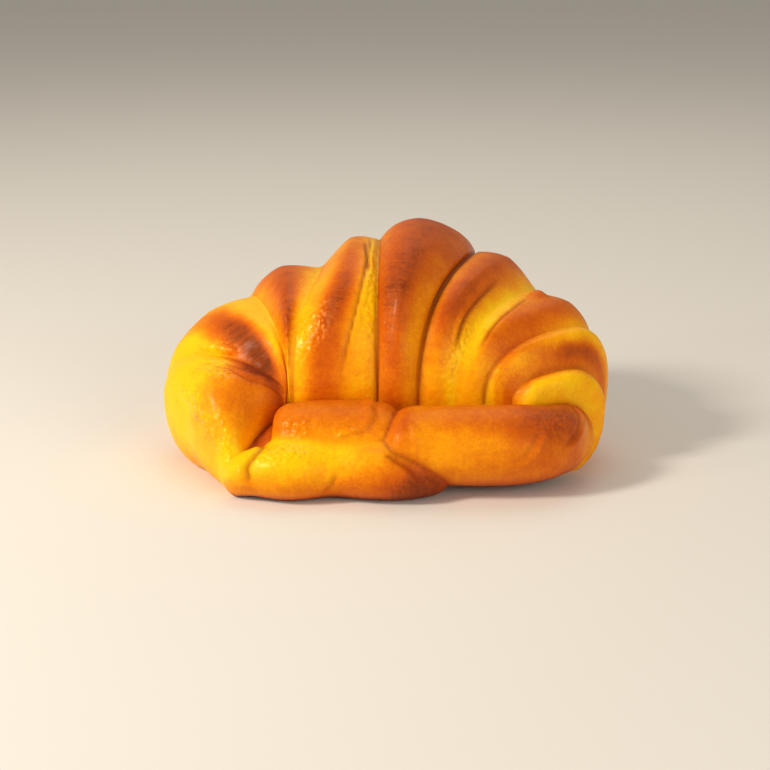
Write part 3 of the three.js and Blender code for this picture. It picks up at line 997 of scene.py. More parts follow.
@dataclass
class Horns:
    """The two horns and the dough that fills in behind them, fused into one.

    Its sizes are millimetres, counts or shares. The two tiers of the left horn
    run together over a wide valley, and the other rolls lap in a narrow one.
    The smooth steps go in, then out, so that the rolls do not shrink. Other
    rounds are how often a value is averaged over its neighbours. A Span is
    where a change begins and where it ends.
    """
    sides: int = 96
    rings: int = 160
    even_rings: float = 0.5
    path_samples: int = 1600
    tangent_step: float = 1e-3
    cap_squareness: float = 2.6
    voxel: float = 0.78
    smooth_rounds: int = 3
    smooth_steps: Pair = (0.5, -0.51)
    distance_rounds: int = 2
    border_rounds: int = 4
    place_rounds: int = 3
    relax_step: float = 0.6
    tier_rounds: int = 60
    tier_valley: Span = (1.5, 6.5)
    lap_rounds: int = 12
    lap_valley: Span = (0.8, 2.4)
    shared_over: float = 0.7
    groove: float = 0.5
    groove_width: float = 0.5
    # how far the laps' painted red-brown shade reaches, in millimetres, and how much of it the tiers' wide
    # valley loses
    groove_red_shade: float = 0.9
    tier_red_shade_loss: float = 0.9
    crease_samples: int = 16
    streak_shift: float = 53.0
    streak_stretch: float = 1.4

    def _tube(self, roll: Roll) -> Tube:
        """Build one roll's rings.

        Args:
            roll: the roll to build.

        Returns:
            The roll's surface.
        """
        path = np.array(roll.path, float)
        fine = np.linspace(0, len(path) - 1, self.path_samples)
        travelled = np.concatenate([[0], np.cumsum(spaced(smooth_path(path, fine), 0))])
        total = travelled[-1]
        share = crowded(np.arange(1, self.rings) / self.rings, self.even_rings)
        place = np.interp(share * total, travelled, fine)
        middle = smooth_path(path, place)
        ahead = smooth_path(path, np.minimum(place + self.tangent_step, len(path) - 1))
        tangent = ahead - smooth_path(path, np.maximum(place - self.tangent_step, 0))
        tangent /= np.linalg.norm(tangent, axis=1)[:, None]
        across = np.stack([tangent[:, 1], -tangent[:, 0], np.zeros(len(place))], axis=1)
        across /= np.linalg.norm(across, axis=1)[:, None]
        upward = np.cross(across, tangent)
        n = self.cap_squareness
        start = np.clip(share * total / roll.start_cap, 0, 1)
        end = np.clip((1 - share) * total / roll.end_cap, 0, 1)
        cap = ((1 - (1 - start) ** n) * (1 - (1 - end) ** n)) ** (1 / n)
        size = smooth_path(np.array(roll.radii, float), place) * cap[:, None]
        angle = 2 * math.pi * np.arange(self.sides) / self.sides
        rings = (middle[:, None] + across[:, None] * (size[:, :1] * np.cos(angle))[..., None]
                 + upward[:, None] * (size[:, 1:] * np.sin(angle))[..., None])
        return Tube(above_ground(rings), path[[0, -1]], share, angle)

    def _fused(self, tubes: list[Tube]) -> tuple[np.ndarray, np.ndarray]:
        """Fuse the rolls into one skin.

        Args:
            tubes: the rolls' surfaces.

        Returns:
            Points in millimetres and faces of four corners.
        """
        mesh = bmesh.new()
        for tube in tubes:
            points, faces = tube.surface()
            verts = [mesh.verts.new(point) for point in points.tolist()]
            for polygon in polygons(faces):
                mesh.faces.new([verts[k] for k in polygon])
        bmesh.ops.recalc_face_normals(mesh, faces=mesh.faces)
        data = bpy.data.meshes.new("rolls")
        mesh.to_mesh(data)
        mesh.free()
        holder = bpy.data.objects.new("rolls", data)
        bpy.context.scene.collection.objects.link(holder)
        remesh = holder.modifiers.new("fuse", "REMESH")
        remesh.mode = "VOXEL"
        remesh.voxel_size = self.voxel
        remesh.adaptivity = 0
        fused = bpy.data.meshes.new_from_object(
            holder.evaluated_get(bpy.context.evaluated_depsgraph_get()))
        points = np.empty(len(fused.vertices) * 3)
        fused.vertices.foreach_get("co", points)
        faces = np.array([list(p.vertices) if len(p.vertices) == 4 else [*p.vertices, p.vertices[-1]]
                          for p in fused.polygons])
        bpy.data.objects.remove(holder)
        bpy.data.meshes.remove(data)
        bpy.data.meshes.remove(fused)
        return points.reshape(-1, 3), faces

    def _evened(self, points: np.ndarray, web: Web, steps: tuple[Any, ...], rounds: int) -> np.ndarray:
        """Move the points toward the middle of their neighbours.

        Args:
            points: vertex positions.
            web: the mesh's edges.
            steps: shares of the way to go in one round, each a number or one
                for each vertex. A negative share undoes the shrinking.
            rounds: how many rounds to do.

        Returns:
            The new positions.
        """
        for _ in range(rounds):
            for step in steps:
                points = points + step * (web.spread(points) - points)
        return above_ground(points)

    def build(self) -> Skin:
        """Build the fused horns' skin.

        Returns:
            A closed skin in millimetres.
        """
        tubes = [self._tube(roll) for roll in ROLLS]
        points, faces = self._fused(tubes)
        web = Web(faces, len(points))
        points = self._evened(points, web, self.smooth_steps, self.smooth_rounds)
        distance, across, along = (np.stack(columns, axis=1)
                                   for columns in zip(*(tube.places(points) for tube in tubes)))
        distance = web.spread(distance, self.distance_rounds)
        order = np.argsort(distance, axis=1)
        closest = distance.min(axis=1, keepdims=True)
        gap = (np.take_along_axis(distance, order[:, 1:2], 1) - closest)[:, 0]
        pair = np.sort(order[:, :2], axis=1)
        tiers = (pair == (Zone.LEFT_LOWER.roll, Zone.LEFT_UPPER.roll)).all(axis=1).astype(float)
        tiers = web.spread(tiers, self.border_rounds)
        for part, valley, rounds in ((tiers, self.tier_valley, self.tier_rounds),
                                     (1 - tiers, self.lap_valley, self.lap_rounds)):
            step = self.relax_step * part * (1 - smoothstep(gap, *valley))
            points = self._evened(points, web, (step[:, None],), rounds)
        across, along = (web.spread(places, self.place_rounds) for places in (across, along))
        weight = np.exp(-(distance - closest) / self.shared_over)
        weight /= weight.sum(axis=1, keepdims=True)
        zone = np.tile([z.value for z in Zone if z.roll >= 0], (len(points), 1))
        relief, inner_crease_red_and_shade = self._creases(across, along, weight)
        relief = relief - self.groove * (1 - tiers) * bell(gap, 0, self.groove_width)
        points = points + skin_normals(points, faces) * relief[:, None]
        # The laps between rolls are darkened to red-brown as painted shade, less in the tiers' wide valley.
        crease_red_and_shade = np.maximum((1 - self.tier_red_shade_loss * tiers) * np.exp(-gap / self.groove_red_shade), inner_crease_red_and_shade)
        x, y, z = points.T
        dough = np.stack([(y + z) * self.streak_stretch, x, order[:, 0] * self.streak_shift], axis=1)
        return Skin(points, faces, zone, across, along, weight, crease_red_and_shade, dough)

    def _creases(self, across: np.ndarray, along: np.ndarray,
                 weight: np.ndarray) -> tuple[np.ndarray, np.ndarray]:
        """Return the height of the creases on the rolls, and their red-brown darkening, partly painted
        shade.

        Args:
            across: each vertex's place round each roll.
            along: its place along each roll.
            weight: how far it belongs to each roll.

        Returns:
            Outward height in millimetres, and red-brown darkening from 0 to 1, partly painted shade.
        """
        relief, crease_red_and_shade = np.zeros(len(across)), np.zeros(len(across))
        on_rolls = [(zone.roll, crease) for zone in CREASES if zone.roll >= 0 for crease in CREASES[zone]]
        for k, crease in on_rolls:
            length = float(spaced(np.array(ROLLS[k].path, float), 0).sum())
            girth = float(np.mean(ROLLS[k].radii)) * math.pi / 2
            marks = np.linspace(0, len(crease.places) - 1, self.crease_samples)
            place = smooth_path(np.array(crease.places, float), marks) * (girth, length)
            spot = np.stack([across[:, k] * girth, along[:, k] * length], axis=1)
            near, side = np.full(len(spot), FAR), np.zeros(len(spot))
            for start, end in zip(place, place[1:]):
                run = end - start
                t = np.clip(((spot - start) @ run) / (run @ run), 0, 1)
                off = spot - start - t[:, None] * run
                far = np.linalg.norm(off, axis=1)
                turn = np.sign(run[0] * off[:, 1] - run[1] * off[:, 0])
                side = np.where(far < near, turn * far, side)
                near = np.minimum(far, near)
            relief += weight[:, k] * crease.relief(side)
            crease_red_and_shade = np.maximum(crease_red_and_shade, weight[:, k] * crease.red_and_shade_at(side))
        return relief, crease_red_and_shade


# ---------------------------------------------------------------- the baking

@dataclass
class Baking:
    """What the oven did: browning, wrinkles, blisters and glaze by place, with painted shade in the browning
    of undersides and hollows.

    up_arch holds the places u of five levels of browning. The first three are
    the band's own, and down the back they run out into back_ridge on the
    ridge and back_side beside it: a share of the crest's level, what is added
    to it, and the level under the base. A Span is where a change begins and
    where it ends.
    """
    wrinkled: Span = (0.6, 1.0)
    blisters: float = 0.12
    up_arch: tuple[float, ...] = (0.0, 0.5, 1.0, 1.7, 2.6)
    back_ridge: Levels = (0.6, 0.14, 0.3)
    back_side: Levels = (0.5, 0.1, 0.25)
    ridge_shift: Span = (0.1, 0.9)
    ridge_blend: float = 0.02
    ridge_squareness: float = 2.4
    roll_top: Span = (-0.2, 0.9)
    roll_under: Span = (-0.9, -0.35)

    def _band(self, browning: Browning, t: np.ndarray, u: np.ndarray) -> np.ndarray:
        """Return the browning over one band.

        Args:
            browning: the band's browning.
            t: place across the band.
            u: place along its arch.

        Returns:
            Browning from 0 to 1.
        """
        marks = smoothstep(self.up_arch, 0, 3)
        ridge, left, right = (
            np.interp(smoothstep(u, 0, 3), marks, [*levels, kept * levels[2] + added, under])
            for levels, (kept, added, under) in ((browning.ridge, self.back_ridge),
                                                 (browning.left, self.back_side),
                                                 (browning.right, self.back_side)))
        foot, crest = browning.ridge_at
        ridge_at = foot + (crest - foot) * smoothstep(u, *self.ridge_shift)
        shape = np.exp(-np.abs((t - ridge_at) / browning.width) ** self.ridge_squareness)
        blend = smoothstep(t, ridge_at - self.ridge_blend, ridge_at + self.ridge_blend)
        side = left + (right - left) * blend
        return side + (ridge - side) * shape

    def _roll(self, browning: RollBrowning, v: np.ndarray, w: np.ndarray) -> np.ndarray:
        """Return the browning over one roll.

        Args:
            browning: the roll's browning.
            v: place round the roll, -1 underside to 1 top.
            w: place along the roll.

        Returns:
            Browning from 0 to 1.
        """
        top = smoothstep(v, *self.roll_top)
        # The underside is darkened: partly baked bottom, partly painted shade.
        under = 1 - smoothstep(v, *self.roll_under)
        return (browning.start + (browning.end - browning.start) * w
                + browning.top * top + browning.under * under)

    def values(self, skin: Skin) -> dict[str, np.ndarray]:
        """Work out what the relief and the crust read.

        Args:
            skin: the dough.

        Returns:
            bake, crease darkening (partly painted shade), wrinkle, blister and swell for each vertex.
        """
        count = len(skin.points)
        effects = {Effect.BAKE: np.zeros(count), Effect.BLISTER: np.full(count, self.blisters),
                   Effect.SWELL: np.zeros(count)}
        for zone in Zone:
            layer = max(zone.roll, 0)
            here = (skin.zone[:, layer] == zone.value) & (skin.weight[:, layer] > 0)
            t, u = skin.across[here, layer], skin.along[here, layer]
            weight = skin.weight[here, layer]
            if zone.roll < 0:
                baked = self._band(BANDS[zone.value].browning, t, u)
            else:
                baked = self._roll(ROLL_BROWNING[zone], t, u)
            effects[Effect.BAKE][here] += weight * baked
            for patch in PATCHES.get(zone, ()):
                effects[patch.effect][here] += patch.amount * patch.share(t, u) * weight
        bake = np.clip(effects[Effect.BAKE], 0, 1)
        return {"bake": bake, "crease_red_and_shade": skin.crease_red_and_shade, "wrinkle": smoothstep(bake, *self.wrinkled),
                "blister": np.clip(effects[Effect.BLISTER], 0, 1), "swell": effects[Effect.SWELL]}


# ---------------------------------------------------------------- the crust

@dataclass(frozen=True)
class Pattern:
    """A noise on the dough: its spacing in millimetres, its detail and how far it browns."""
    spacing: float
    detail: float
    roughness: float
    browning: float = 0.0


@dataclass(frozen=True)
class Lines:
    """A noise drawn out across the dough's ridges, its length and width in millimetres."""
    length: float
    width: float
    detail: float
    roughness: float
    distortion: float = 0.0


@dataclass(frozen=True)
class EggWashedCrust:
    """Bread crust brushed with egg before baking.

    The egg dries to a thin clear film, so the yellow and orange dough shines
    softly. Where the ridges baked brown the film has gone dull and wrinkled.
    The colours run evenly from yolk to brown. A bump is a strength and a height
    in millimetres.
    """
    yolk: str = "#FFC909"
    gold: str = "#F9A505"
    orange: str = "#E47E05"
    amber: str = "#CE5E06"
    chestnut: str = "#AE4711"
    brown: str = "#7C2E10"
    # The red-brown of creases, seams and laps, partly the dough's underside, partly painted shade; it is
    # mixed in up to this share.
    crease: str = "#962E05"
    crease_shade_share: float = 0.85
    glaze_tint: str = "#FFD27E"
    roughness_glazed: float = 0.52
    roughness_baked: float = 0.70
    roughness_blistered: float = 0.09
    coat: float = 0.04
    coat_roughness: float = 0.13
    mottle: Pattern = Pattern(7.5, 4.0, 0.68, 0.44)
    speckle: Pattern = Pattern(0.8, 2.0, 0.6, 0.26)
    pores: Pattern = Pattern(0.45, 3.0, 0.6)
    streaks: Lines = Lines(5.0, 1.6, 3.0, 0.6)
    wrinkles: Lines = Lines(6.6, 1.1, 4.0, 0.65, 0.6)
    streak_browning: float = 0.14
    line_depth: float = 0.36
    line_width: float = 0.035
    paler: float = 0.43
    blister_spacing: float = 1.7
    wrinkle_bump: Pair = (0.75, 0.35)
    blister_bump: Pair = (1.0, 0.8)
    pore_bump: Pair = (0.6, 0.12)

    def _drawn(self, tree: bpy.types.NodeTree) -> dict[str, bpy.types.NodeSocket]:
        """Lay out what the crust is drawn from.

        Args:
            tree: the material's tree.

        Returns:
            The skin's own values and the dough's noises, by name.
        """
        place = add_node(tree, "ShaderNodeTexCoord").outputs["Object"]
        dough = add_node(tree, "ShaderNodeAttribute", {"attribute_name": "dough"}).outputs["Vector"]
        drawn = {name: add_node(tree, "ShaderNodeAttribute", {"attribute_name": name}).outputs["Fac"]
                 for name in ("bake", "crease_red_and_shade", "wrinkle", "blister")}
        for name in ("mottle", "speckle", "pores"):
            pattern = getattr(self, name)
            drawn[name] = add_node(tree, "ShaderNodeTexNoise", inputs={
                "Vector": place, "Scale": 1 / (pattern.spacing * MM), "Detail": pattern.detail,
                "Roughness": pattern.roughness}).outputs["Fac"]
        for name in ("streaks", "wrinkles"):
            lines = getattr(self, name)
            stretched = add_node(tree, "ShaderNodeMapping", {"vector_type": "POINT"}, {
                "Vector": dough, "Scale": (1 / (lines.length * MM), 1 / (lines.width * MM), 1.0)})
            drawn[name] = add_node(tree, "ShaderNodeTexNoise", inputs={
                "Vector": stretched.outputs[0], "Scale": 1.0, "Detail": lines.detail,
                "Roughness": lines.roughness, "Distortion": lines.distortion}).outputs["Fac"]
        drawn["bubbles"] = add_node(tree, "ShaderNodeTexVoronoi", {"feature": "SMOOTH_F1"}, {
            "Vector": place, "Scale": 1 / (self.blister_spacing * MM), "Smoothness": 0.6,
            "Randomness": 1.0}).outputs["Distance"]
        return drawn

    def _colour(self, tree: bpy.types.NodeTree,
                drawn: dict[str, bpy.types.NodeSocket]) -> bpy.types.NodeSocket:
        """Mix the crust's colour, from yolk yellow to brown, darker and redder in the creases, partly as
        painted shade.

        Args:
            tree: the material's tree.
            drawn: what the crust is drawn from.

        Returns:
            The socket that gives the colour.
        """
        away = add_node(tree, "ShaderNodeMath", {"operation": "SUBTRACT"},
                        {0: drawn["wrinkles"], 1: 0.5}).outputs[0]
        ridge = add_node(tree, "ShaderNodeMath", {"operation": "ABSOLUTE"}, {0: away}).outputs[0]
        line = add_node(tree, "ShaderNodeMapRange", {"interpolation_type": "SMOOTHSTEP"}, {
            "Value": ridge, "From Min": 0.0, "From Max": self.line_width, "To Min": self.line_depth,
            "To Max": 0.0}).outputs[0]
        browned = drawn["bake"]
        for pattern, share in ((drawn["mottle"], self.mottle.browning),
                               (drawn["speckle"], self.speckle.browning),
                               (drawn["streaks"], self.streak_browning), (line, drawn["wrinkle"])):
            browned = add_node(tree, "ShaderNodeMath", {"operation": "MULTIPLY_ADD"},
                               {0: pattern, 1: share, 2: browned}).outputs[0]
        browned = add_node(tree, "ShaderNodeMath", {"operation": "SUBTRACT", "use_clamp": True},
                           {0: browned, 1: self.paler}).outputs[0]
        ramp = add_node(tree, "ShaderNodeValToRGB", inputs={"Fac": browned})
        stops = (self.yolk, self.gold, self.orange, self.amber, self.chestnut, self.brown)
        for k in range(1, len(stops) - 1):
            ramp.color_ramp.elements.new(k / (len(stops) - 1))
        for element, colour in zip(ramp.color_ramp.elements, stops):
            element.color = linear(colour)
        # Darken toward the crease red-brown: partly the dough's underside, partly painted shade in creases,
        # seams and laps.
        shown = add_node(tree, "ShaderNodeMath", {"operation": "MULTIPLY"},
                         {0: drawn["crease_red_and_shade"], 1: self.crease_shade_share}).outputs[0]
        return add_node(tree, "ShaderNodeMix", {"data_type": "RGBA", "blend_type": "MIX"}, {
            0: shown, 6: ramp.outputs["Color"], 7: linear(self.crease)}).outputs[2]

    def _roughness(self, tree: bpy.types.NodeTree,
                   drawn: dict[str, bpy.types.NodeSocket]) -> bpy.types.NodeSocket:
        """Work out how dull the film of egg is.

        Args:
            tree: the material's tree.
            drawn: what the crust is drawn from.

        Returns:
            The socket that gives the roughness.
        """
        rough = self.roughness_glazed
        for name, there in (("wrinkle", self.roughness_baked), ("blister", self.roughness_blistered)):
            rough = add_node(tree, "ShaderNodeMath", {"operation": "MULTIPLY_ADD"}, {
                0: drawn[name], 1: there - self.roughness_glazed, 2: rough}).outputs[0]
        return rough

    def _bump(self, tree: bpy.types.NodeTree,
              drawn: dict[str, bpy.types.NodeSocket]) -> dict[str, bpy.types.NodeSocket]:
        """Raise wrinkles, blisters and pores too fine for the mesh.

        Args:
            tree: the material's tree.
            drawn: what the crust is drawn from.

        Returns:
            The Normal input of the node that comes next.
        """
        raised = add_node(tree, "ShaderNodeMath", {"operation": "SUBTRACT"},
                          {0: 1.0, 1: drawn["bubbles"]}).outputs[0]
        wrinkles, blisters = (
            add_node(tree, "ShaderNodeMath", {"operation": "MULTIPLY"}, {0: height, 1: share}).outputs[0]
            for height, share in ((drawn["wrinkles"], drawn["wrinkle"]), (raised, drawn["blister"])))
        below = {}
        for height, (strength, distance) in ((wrinkles, self.wrinkle_bump), (blisters, self.blister_bump),
                                             (drawn["pores"], self.pore_bump)):
            bump = add_node(tree, "ShaderNodeBump", inputs={
                "Height": height, "Strength": strength, "Distance": distance * MM, **below})
            below = {"Normal": bump.outputs[0]}
        return below

    def build(self) -> bpy.types.Material:
        """Build the crust's material.

        Returns:
            The material, reading the skin's bake, crease darkening (partly painted shade), wrinkle, blister
            and dough.
        """
        material = bpy.data.materials.new("egg_washed_crust")
        material.use_nodes = True
        tree = material.node_tree
        tree.nodes.clear()
        drawn = self._drawn(tree)
        shader = add_node(tree, "ShaderNodeBsdfPrincipled", {"subsurface_method": "RANDOM_WALK"}, {
            "Base Color": self._colour(tree, drawn), "Roughness": self._roughness(tree, drawn),
            "Metallic": 0.0, "IOR": 1.42, "Specular IOR Level": 0.50,
            "Specular Tint": linear(self.glaze_tint), "Subsurface Weight": 0.18,
            "Subsurface Radius": (1.0, 0.42, 0.12), "Subsurface Scale": 2.2 * MM,
            "Coat Weight": self.coat, "Coat Roughness": self.coat_roughness, "Coat IOR": 1.5,
            **self._bump(tree, drawn)})
        add_node(tree, "ShaderNodeOutputMaterial", inputs={"Surface": shader.outputs[0]})
        return material


@dataclass(frozen=True)
class Relief:
    """One relief of the crust: its spacing and height in millimetres."""
    spacing: float
    height: float


@dataclass
class CrustRelief:
    """The fine relief of the crust, made by Geometry Nodes on the fused skin.

    It rises from nothing at the ground over the Span resting. wrinkle_stretch
    draws the wrinkles out across the dough's ridges.
    """
    lump: Relief = Relief(13.0, 0.85)
    wrinkle: Relief = Relief(1.9, 0.22)
    blister: Relief = Relief(2.2, 0.45)
    wrinkle_stretch: Point = (0.2, 1.0, 1.0)
    resting: Span = (0.4, 5.0)
    seed: int = 7

    def _sizes(self) -> dict[str, float]:
        """List the tree's inputs by name, with their values in metres.

        Returns:
            Name to value.
        """
        sizes = {}
        for name in ("lump", "wrinkle", "blister"):
            relief = getattr(self, name)
            sizes[f"{name.capitalize()} spacing"] = relief.spacing * MM
            sizes[f"{name.capitalize()} height"] = relief.height * MM
        return sizes | {"Seed": float(self.seed)}

    def _height(self, tree: bpy.types.NodeTree, given: bpy.types.Node,
                place: bpy.types.NodeSocket) -> bpy.types.NodeSocket:
        """Add up the lumps, wrinkles and blisters, each shifted to its own part of the noise.

        Args:
            tree: the relief's tree.
            given: the node that holds its inputs.
            place: the socket that gives each vertex's place.

        Returns:
            The socket that gives the height.
        """
        skin = {name: add_node(tree, "GeometryNodeInputNamedAttribute", {"data_type": kind},
                               {0: name}).outputs[0]
                for name, kind in (("dough", "FLOAT_VECTOR"), ("wrinkle", "FLOAT"), ("blister", "FLOAT"))}
        stretched = add_node(tree, "ShaderNodeVectorMath", {"operation": "MULTIPLY"},
                             {0: skin["dough"], 1: self.wrinkle_stretch}).outputs[0]
        height = 0.0
        for name, vector, shift, share in (("Lump", place, 0.0, 1.0),
                                           ("Wrinkle", stretched, 3.1, skin["wrinkle"]),
                                           ("Blister", place, 9.7, skin["blister"])):
            phase = add_node(tree, "ShaderNodeMath", {"operation": "ADD"},
                             {0: given.outputs["Seed"], 1: shift}).outputs[0]
            scale = add_node(tree, "ShaderNodeMath", {"operation": "DIVIDE"},
                             {0: 1.0, 1: given.outputs[f"{name} spacing"]}).outputs[0]
            pattern = {"Vector": vector, "W": phase, "Scale": scale}
            if name == "Blister":
                cells = add_node(tree, "ShaderNodeTexVoronoi",
                                 {"feature": "SMOOTH_F1", "voronoi_dimensions": "4D"},
                                 pattern | {"Smoothness": 0.7, "Randomness": 1.0})
                levels = {0: 0.5, 1: cells.outputs["Distance"]}
            else:
                noise = add_node(tree, "ShaderNodeTexNoise", {"noise_dimensions": "4D"},
                                 pattern | {"Detail": 2.0, "Roughness": 0.55})
                levels = {0: noise.outputs[0], 1: 0.5}
            level = add_node(tree, "ShaderNodeMath", {"operation": "SUBTRACT"}, levels).outputs[0]
            scaled = add_node(tree, "ShaderNodeMath", {"operation": "MULTIPLY"},
                              {0: level, 1: given.outputs[f"{name} height"]}).outputs[0]
            height = add_node(tree, "ShaderNodeMath", {"operation": "MULTIPLY_ADD"},
                              {0: scaled, 1: share, 2: height}).outputs[0]
        return height

    def _tree(self, material: bpy.types.Material) -> bpy.types.NodeTree:
        """Build the node tree, with its sizes as named inputs in metres.

        Args:
            material: the crust that the tree sets.

        Returns:
            The tree.
        """
        tree = bpy.data.node_groups.new("crust_relief", "GeometryNodeTree")
        face = tree.interface
        face.new_socket("Skin", in_out="INPUT", socket_type="NodeSocketGeometry")
        for name in self._sizes():
            face.new_socket(name, in_out="INPUT", socket_type="NodeSocketFloat")
        face.new_socket("Skin", in_out="OUTPUT", socket_type="NodeSocketGeometry")
        given = add_node(tree, "NodeGroupInput")
        place = add_node(tree, "GeometryNodeInputPosition").outputs[0]
        normal = add_node(tree, "GeometryNodeInputNormal").outputs[0]
        level = add_node(tree, "ShaderNodeSeparateXYZ", inputs={0: place}).outputs[2]
        low, high = self.resting
        resting = add_node(tree, "ShaderNodeMapRange", {"interpolation_type": "SMOOTHSTEP", "clamp": True},
                           {"Value": level, "From Min": low * MM, "From Max": high * MM}).outputs[0]
        lift = add_node(tree, "ShaderNodeMath", {"operation": "MULTIPLY"},
                        {0: self._height(tree, given, place), 1: resting}).outputs[0]
        offset = add_node(tree, "ShaderNodeVectorMath", {"operation": "SCALE"},
                          {0: normal, "Scale": lift}).outputs[0]
        moved = add_node(tree, "GeometryNodeSetPosition", inputs={
            "Geometry": given.outputs["Skin"], "Offset": offset}).outputs[0]
        realized = add_node(tree, "GeometryNodeRealizeInstances", inputs={0: moved}).outputs[0]
        dressed = add_node(tree, "GeometryNodeSetMaterial", inputs={
            "Geometry": realized, "Material": material}).outputs[0]
        add_node(tree, "NodeGroupOutput", inputs={0: dressed})
        return tree

    def apply(self, piece: bpy.types.Object, material: bpy.types.Material) -> bpy.types.Mesh:
        """Raise the relief on a piece and return it as a plain mesh.

        Args:
            piece: the object that holds the smooth skin.
            material: the crust that the tree sets.

        Returns:
            The finished mesh.
        """
        tree = self._tree(material)
        modifier = piece.modifiers.new("crust_relief", "NODES")
        modifier.node_group = tree
        sizes = self._sizes()
        for item in tree.interface.items_tree:
            if item.item_type == "SOCKET" and item.in_out == "INPUT" and item.name in sizes:
                modifier[item.identifier] = sizes[item.name]
        evaluated = piece.evaluated_get(bpy.context.evaluated_depsgraph_get())
        mesh = bpy.data.meshes.new_from_object(evaluated)
        piece.modifiers.remove(modifier)
        return mesh


@dataclass
class Croissant:
    """The whole croissant: crescent and horns under one crust.

    Where the two skins touch, the line between them is darkened to red-brown
    as painted shade, apart from the left knob, where dough fills it. Reaches
    and fill are millimetres.
    """
    crescent: Crescent = field(default_factory=Crescent)
    horns: Horns = field(default_factory=Horns)
    baking: Baking = field(default_factory=Baking)
    relief: CrustRelief = field(default_factory=CrustRelief)
    crust: EggWashedCrust = field(default_factory=EggWashedCrust)
    contact_reach: float = 0.9
    contact_red_shade: float = 0.7
    knob: Span = (-47.0, -41.0)
    knob_fill: float = 1.5
    knob_reach: float = 2.4

    def _join(self, dough: Skin, touch: np.ndarray) -> None:
        """Darken the line where two skins touch to red-brown as painted shade, but fill it at the left knob.

        Args:
            dough: one of the skins, changed in place.
            touch: how near each vertex lies to the other skin, 0 to 1.
        """
        knob = 1 - smoothstep(dough.points[:, 0], *self.knob)
        dough.crease_red_and_shade = np.maximum(dough.crease_red_and_shade, self.contact_red_shade * touch * (1 - knob))
        fill = self.knob_fill * knob * touch ** (self.contact_reach / self.knob_reach)
        dough.points = above_ground(dough.raised(fill))

    def _mesh(self, skin: Skin) -> bpy.types.Mesh:
        """Turn a skin into a mesh, stood in the middle of the CAD solid's box.

        Args:
            skin: the dough.

        Returns:
            The mesh in metres, its faces out, with what the crust reads.
        """
        low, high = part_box("croissant")
        values = self.baking.values(skin)
        points = (skin.raised(values["swell"]) - (*PLAN_MIDDLE, 0)) * MM
        points = points + ((low[0] + high[0]) / 2, (low[1] + high[1]) / 2, 0)
        mesh = bpy.data.meshes.new("croissant_crust")
        mesh.from_pydata(points.tolist(), [], polygons(skin.faces))
        for name in ("bake", "crease_red_and_shade", "wrinkle", "blister"):
            attribute = mesh.attributes.new(name, "FLOAT", "POINT")
            attribute.data.foreach_set("value", values[name].astype(np.float32))
        dough = mesh.attributes.new("dough", "FLOAT_VECTOR", "POINT")
        dough.data.foreach_set("vector", (skin.dough * MM).astype(np.float32).ravel())
        mesh.update()
        work = bmesh.new()
        work.from_mesh(mesh)
        bmesh.ops.recalc_face_normals(work, faces=work.faces)
        work.to_mesh(mesh)
        work.free()
        return mesh

    def build(self) -> bpy.types.Object:
        """Build, dress and place the croissant.

        Returns:
            The finished piece.
        """
        skin = self.crescent.build()
        LOG.info("crescent: %d faces", len(skin.faces))
        horns = self.horns.build()
        LOG.info("horns: %d faces", len(horns.faces))
        touching = horns.near(skin, self.contact_reach), skin.near(horns, self.contact_reach)
        for dough, touch in zip((horns, skin), touching):
            self._join(dough, touch)
        piece = bpy.data.objects.new("croissant_crust", self._mesh(skin.joined(horns)))
        bpy.context.scene.collection.objects.link(piece)
        piece.data = self.relief.apply(piece, self.crust.build())
        piece.data.name = "croissant_crust"
        piece.data.shade_smooth()
        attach(piece, "root")
        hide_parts("croissant")
        return piece


# ---------------------------------------------------------------- the studio

@dataclass(frozen=True)
class PalePaper:
    """Matt white paper: a plain pale floor that takes a soft shadow."""
    colour: str = "#EAEAE8"
    fibre_spacing: float = 2.0

    def build(self) -> bpy.types.Material:
        """Build the paper's material.

        Returns:
            The material.
        """
        material = bpy.data.materials.new("matt_white_paper")
        material.use_nodes = True
        tree = material.node_tree
        tree.nodes.clear()
        place = add_node(tree, "ShaderNodeTexCoord").outputs["Object"]
        fibre = add_node(tree, "ShaderNodeTexNoise", inputs={
            "Vector": place, "Scale": 1 / (self.fibre_spacing * MM), "Detail": 3.0})
        bump = add_node(tree, "ShaderNodeBump", inputs={
            "Height": fibre.outputs["Fac"], "Strength": 0.1, "Distance": 0.05 * MM})
        shader = add_node(tree, "ShaderNodeBsdfPrincipled", inputs={
            "Base Color": linear(self.colour), "Roughness": 0.85, "Normal": bump.outputs[0]})
        add_node(tree, "ShaderNodeOutputMaterial", inputs={"Surface": shader.outputs[0]})
        return material


@dataclass(frozen=True)
class SoftBox:
    """A square soft box aimed at the croissant, its place and size in metres."""
    name: str
    place: Point
    size: float
    watts: float
    colour: str

    def hang(self, aim: Vector) -> None:
        """Hang the light.

        Args:
            aim: where it points, in metres.
        """
        data = bpy.data.lights.new(self.name, "AREA")
        data.size = self.size
        data.energy = self.watts
        data.color = linear(self.colour)[:3]
        light = bpy.data.objects.new(self.name, data)
        light.location = self.place
        light.rotation_euler = (aim - Vector(self.place)).to_track_quat("-Z", "Y").to_euler()
        bpy.context.scene.collection.objects.link(light)


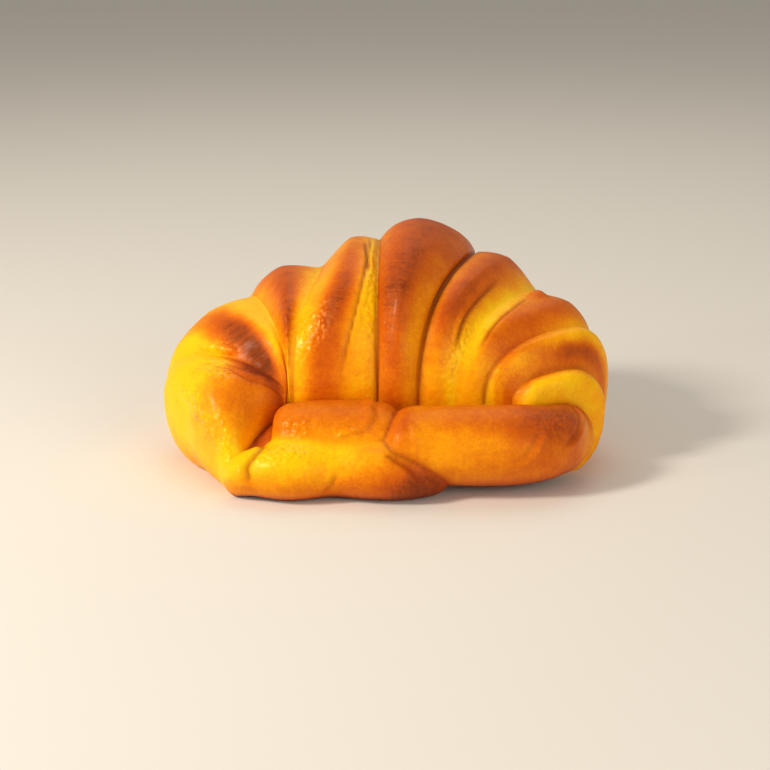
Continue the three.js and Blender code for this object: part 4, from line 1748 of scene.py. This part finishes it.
@dataclass
class Studio:
    """The floor, the soft lights and the camera at the photo's viewing angle."""
    elevation: float = 17.0
    lens: float = 85.0
    sensor: float = 36.0
    pixels_per_mm: float = 3.0
    aim: Point = (-0.83, 55.0, 21.6)
    light_aim: float = 30.0
    floor_half: float = 3000.0
    surroundings: float = 0.34
    lights: tuple[SoftBox, ...] = (
        SoftBox("key", (-0.62, -0.30, 0.52), 0.16, 5.1, "#FFF1DC"),
        SoftBox("low", (-0.74, -0.40, 0.24), 0.10, 0.8, "#FFF1DC"),
        SoftBox("fill", (0.55, -0.75, 0.30), 0.6, 3.1, WARM_WHITE),
        SoftBox("top", (0.05, 0.40, 0.75), 0.6, 1.5, WARM_WHITE),
    )

    def _camera(self) -> None:
        """Stand the camera where the photo was taken from."""
        data = bpy.data.cameras.new("photo_camera")
        data.lens = self.lens
        data.sensor_width = self.sensor
        data.clip_start = 0.01
        camera = bpy.data.objects.new("photo_camera", data)
        bpy.context.scene.collection.objects.link(camera)
        distance = PHOTO_SIZE * self.lens / (self.sensor * self.pixels_per_mm) * MM
        tilt = math.radians(self.elevation)
        aim = (Vector(self.aim) - Vector((*PLAN_MIDDLE, 0))) * MM
        camera.location = aim + Vector((0, -math.cos(tilt), math.sin(tilt))) * distance
        camera.rotation_euler = (aim - camera.location).to_track_quat("-Z", "Y").to_euler()
        bpy.context.scene.camera = camera

    def _floor(self) -> None:
        """Lay the floor."""
        half = self.floor_half * MM
        mesh = bpy.data.meshes.new("floor")
        mesh.from_pydata([(-half, -half, 0), (half, -half, 0), (half, half, 0), (-half, half, 0)],
                         [], [(0, 1, 2, 3)])
        mesh.materials.append(PalePaper().build())
        floor = bpy.data.objects.new("floor", mesh)
        bpy.context.scene.collection.objects.link(floor)

    def build(self) -> None:
        """Build floor, camera, lights and surroundings."""
        self._camera()
        self._floor()
        for light in self.lights:
            light.hang(Vector((0, 0, self.light_aim * MM)))
        world = bpy.data.worlds.new("studio")
        bpy.context.scene.world = world
        world.use_nodes = True
        background = world.node_tree.nodes["Background"]
        background.inputs["Color"].default_value = linear(WARM_WHITE)
        background.inputs["Strength"].default_value = self.surroundings
        bpy.context.scene.view_settings.view_transform = "Standard"


def main() -> None:
    """Build the croissant and its studio, and report each piece."""
    logging.basicConfig(level=logging.INFO, format="%(name)s: %(message)s")
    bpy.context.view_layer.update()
    Studio().build()
    LOG.info("studio: floor, camera and lights")
    piece = Croissant().build()
    LOG.info("%s: %d vertices, %d faces", piece.name, len(piece.data.vertices),
             len(piece.data.polygons))


if __name__ == "__main__":
    main()
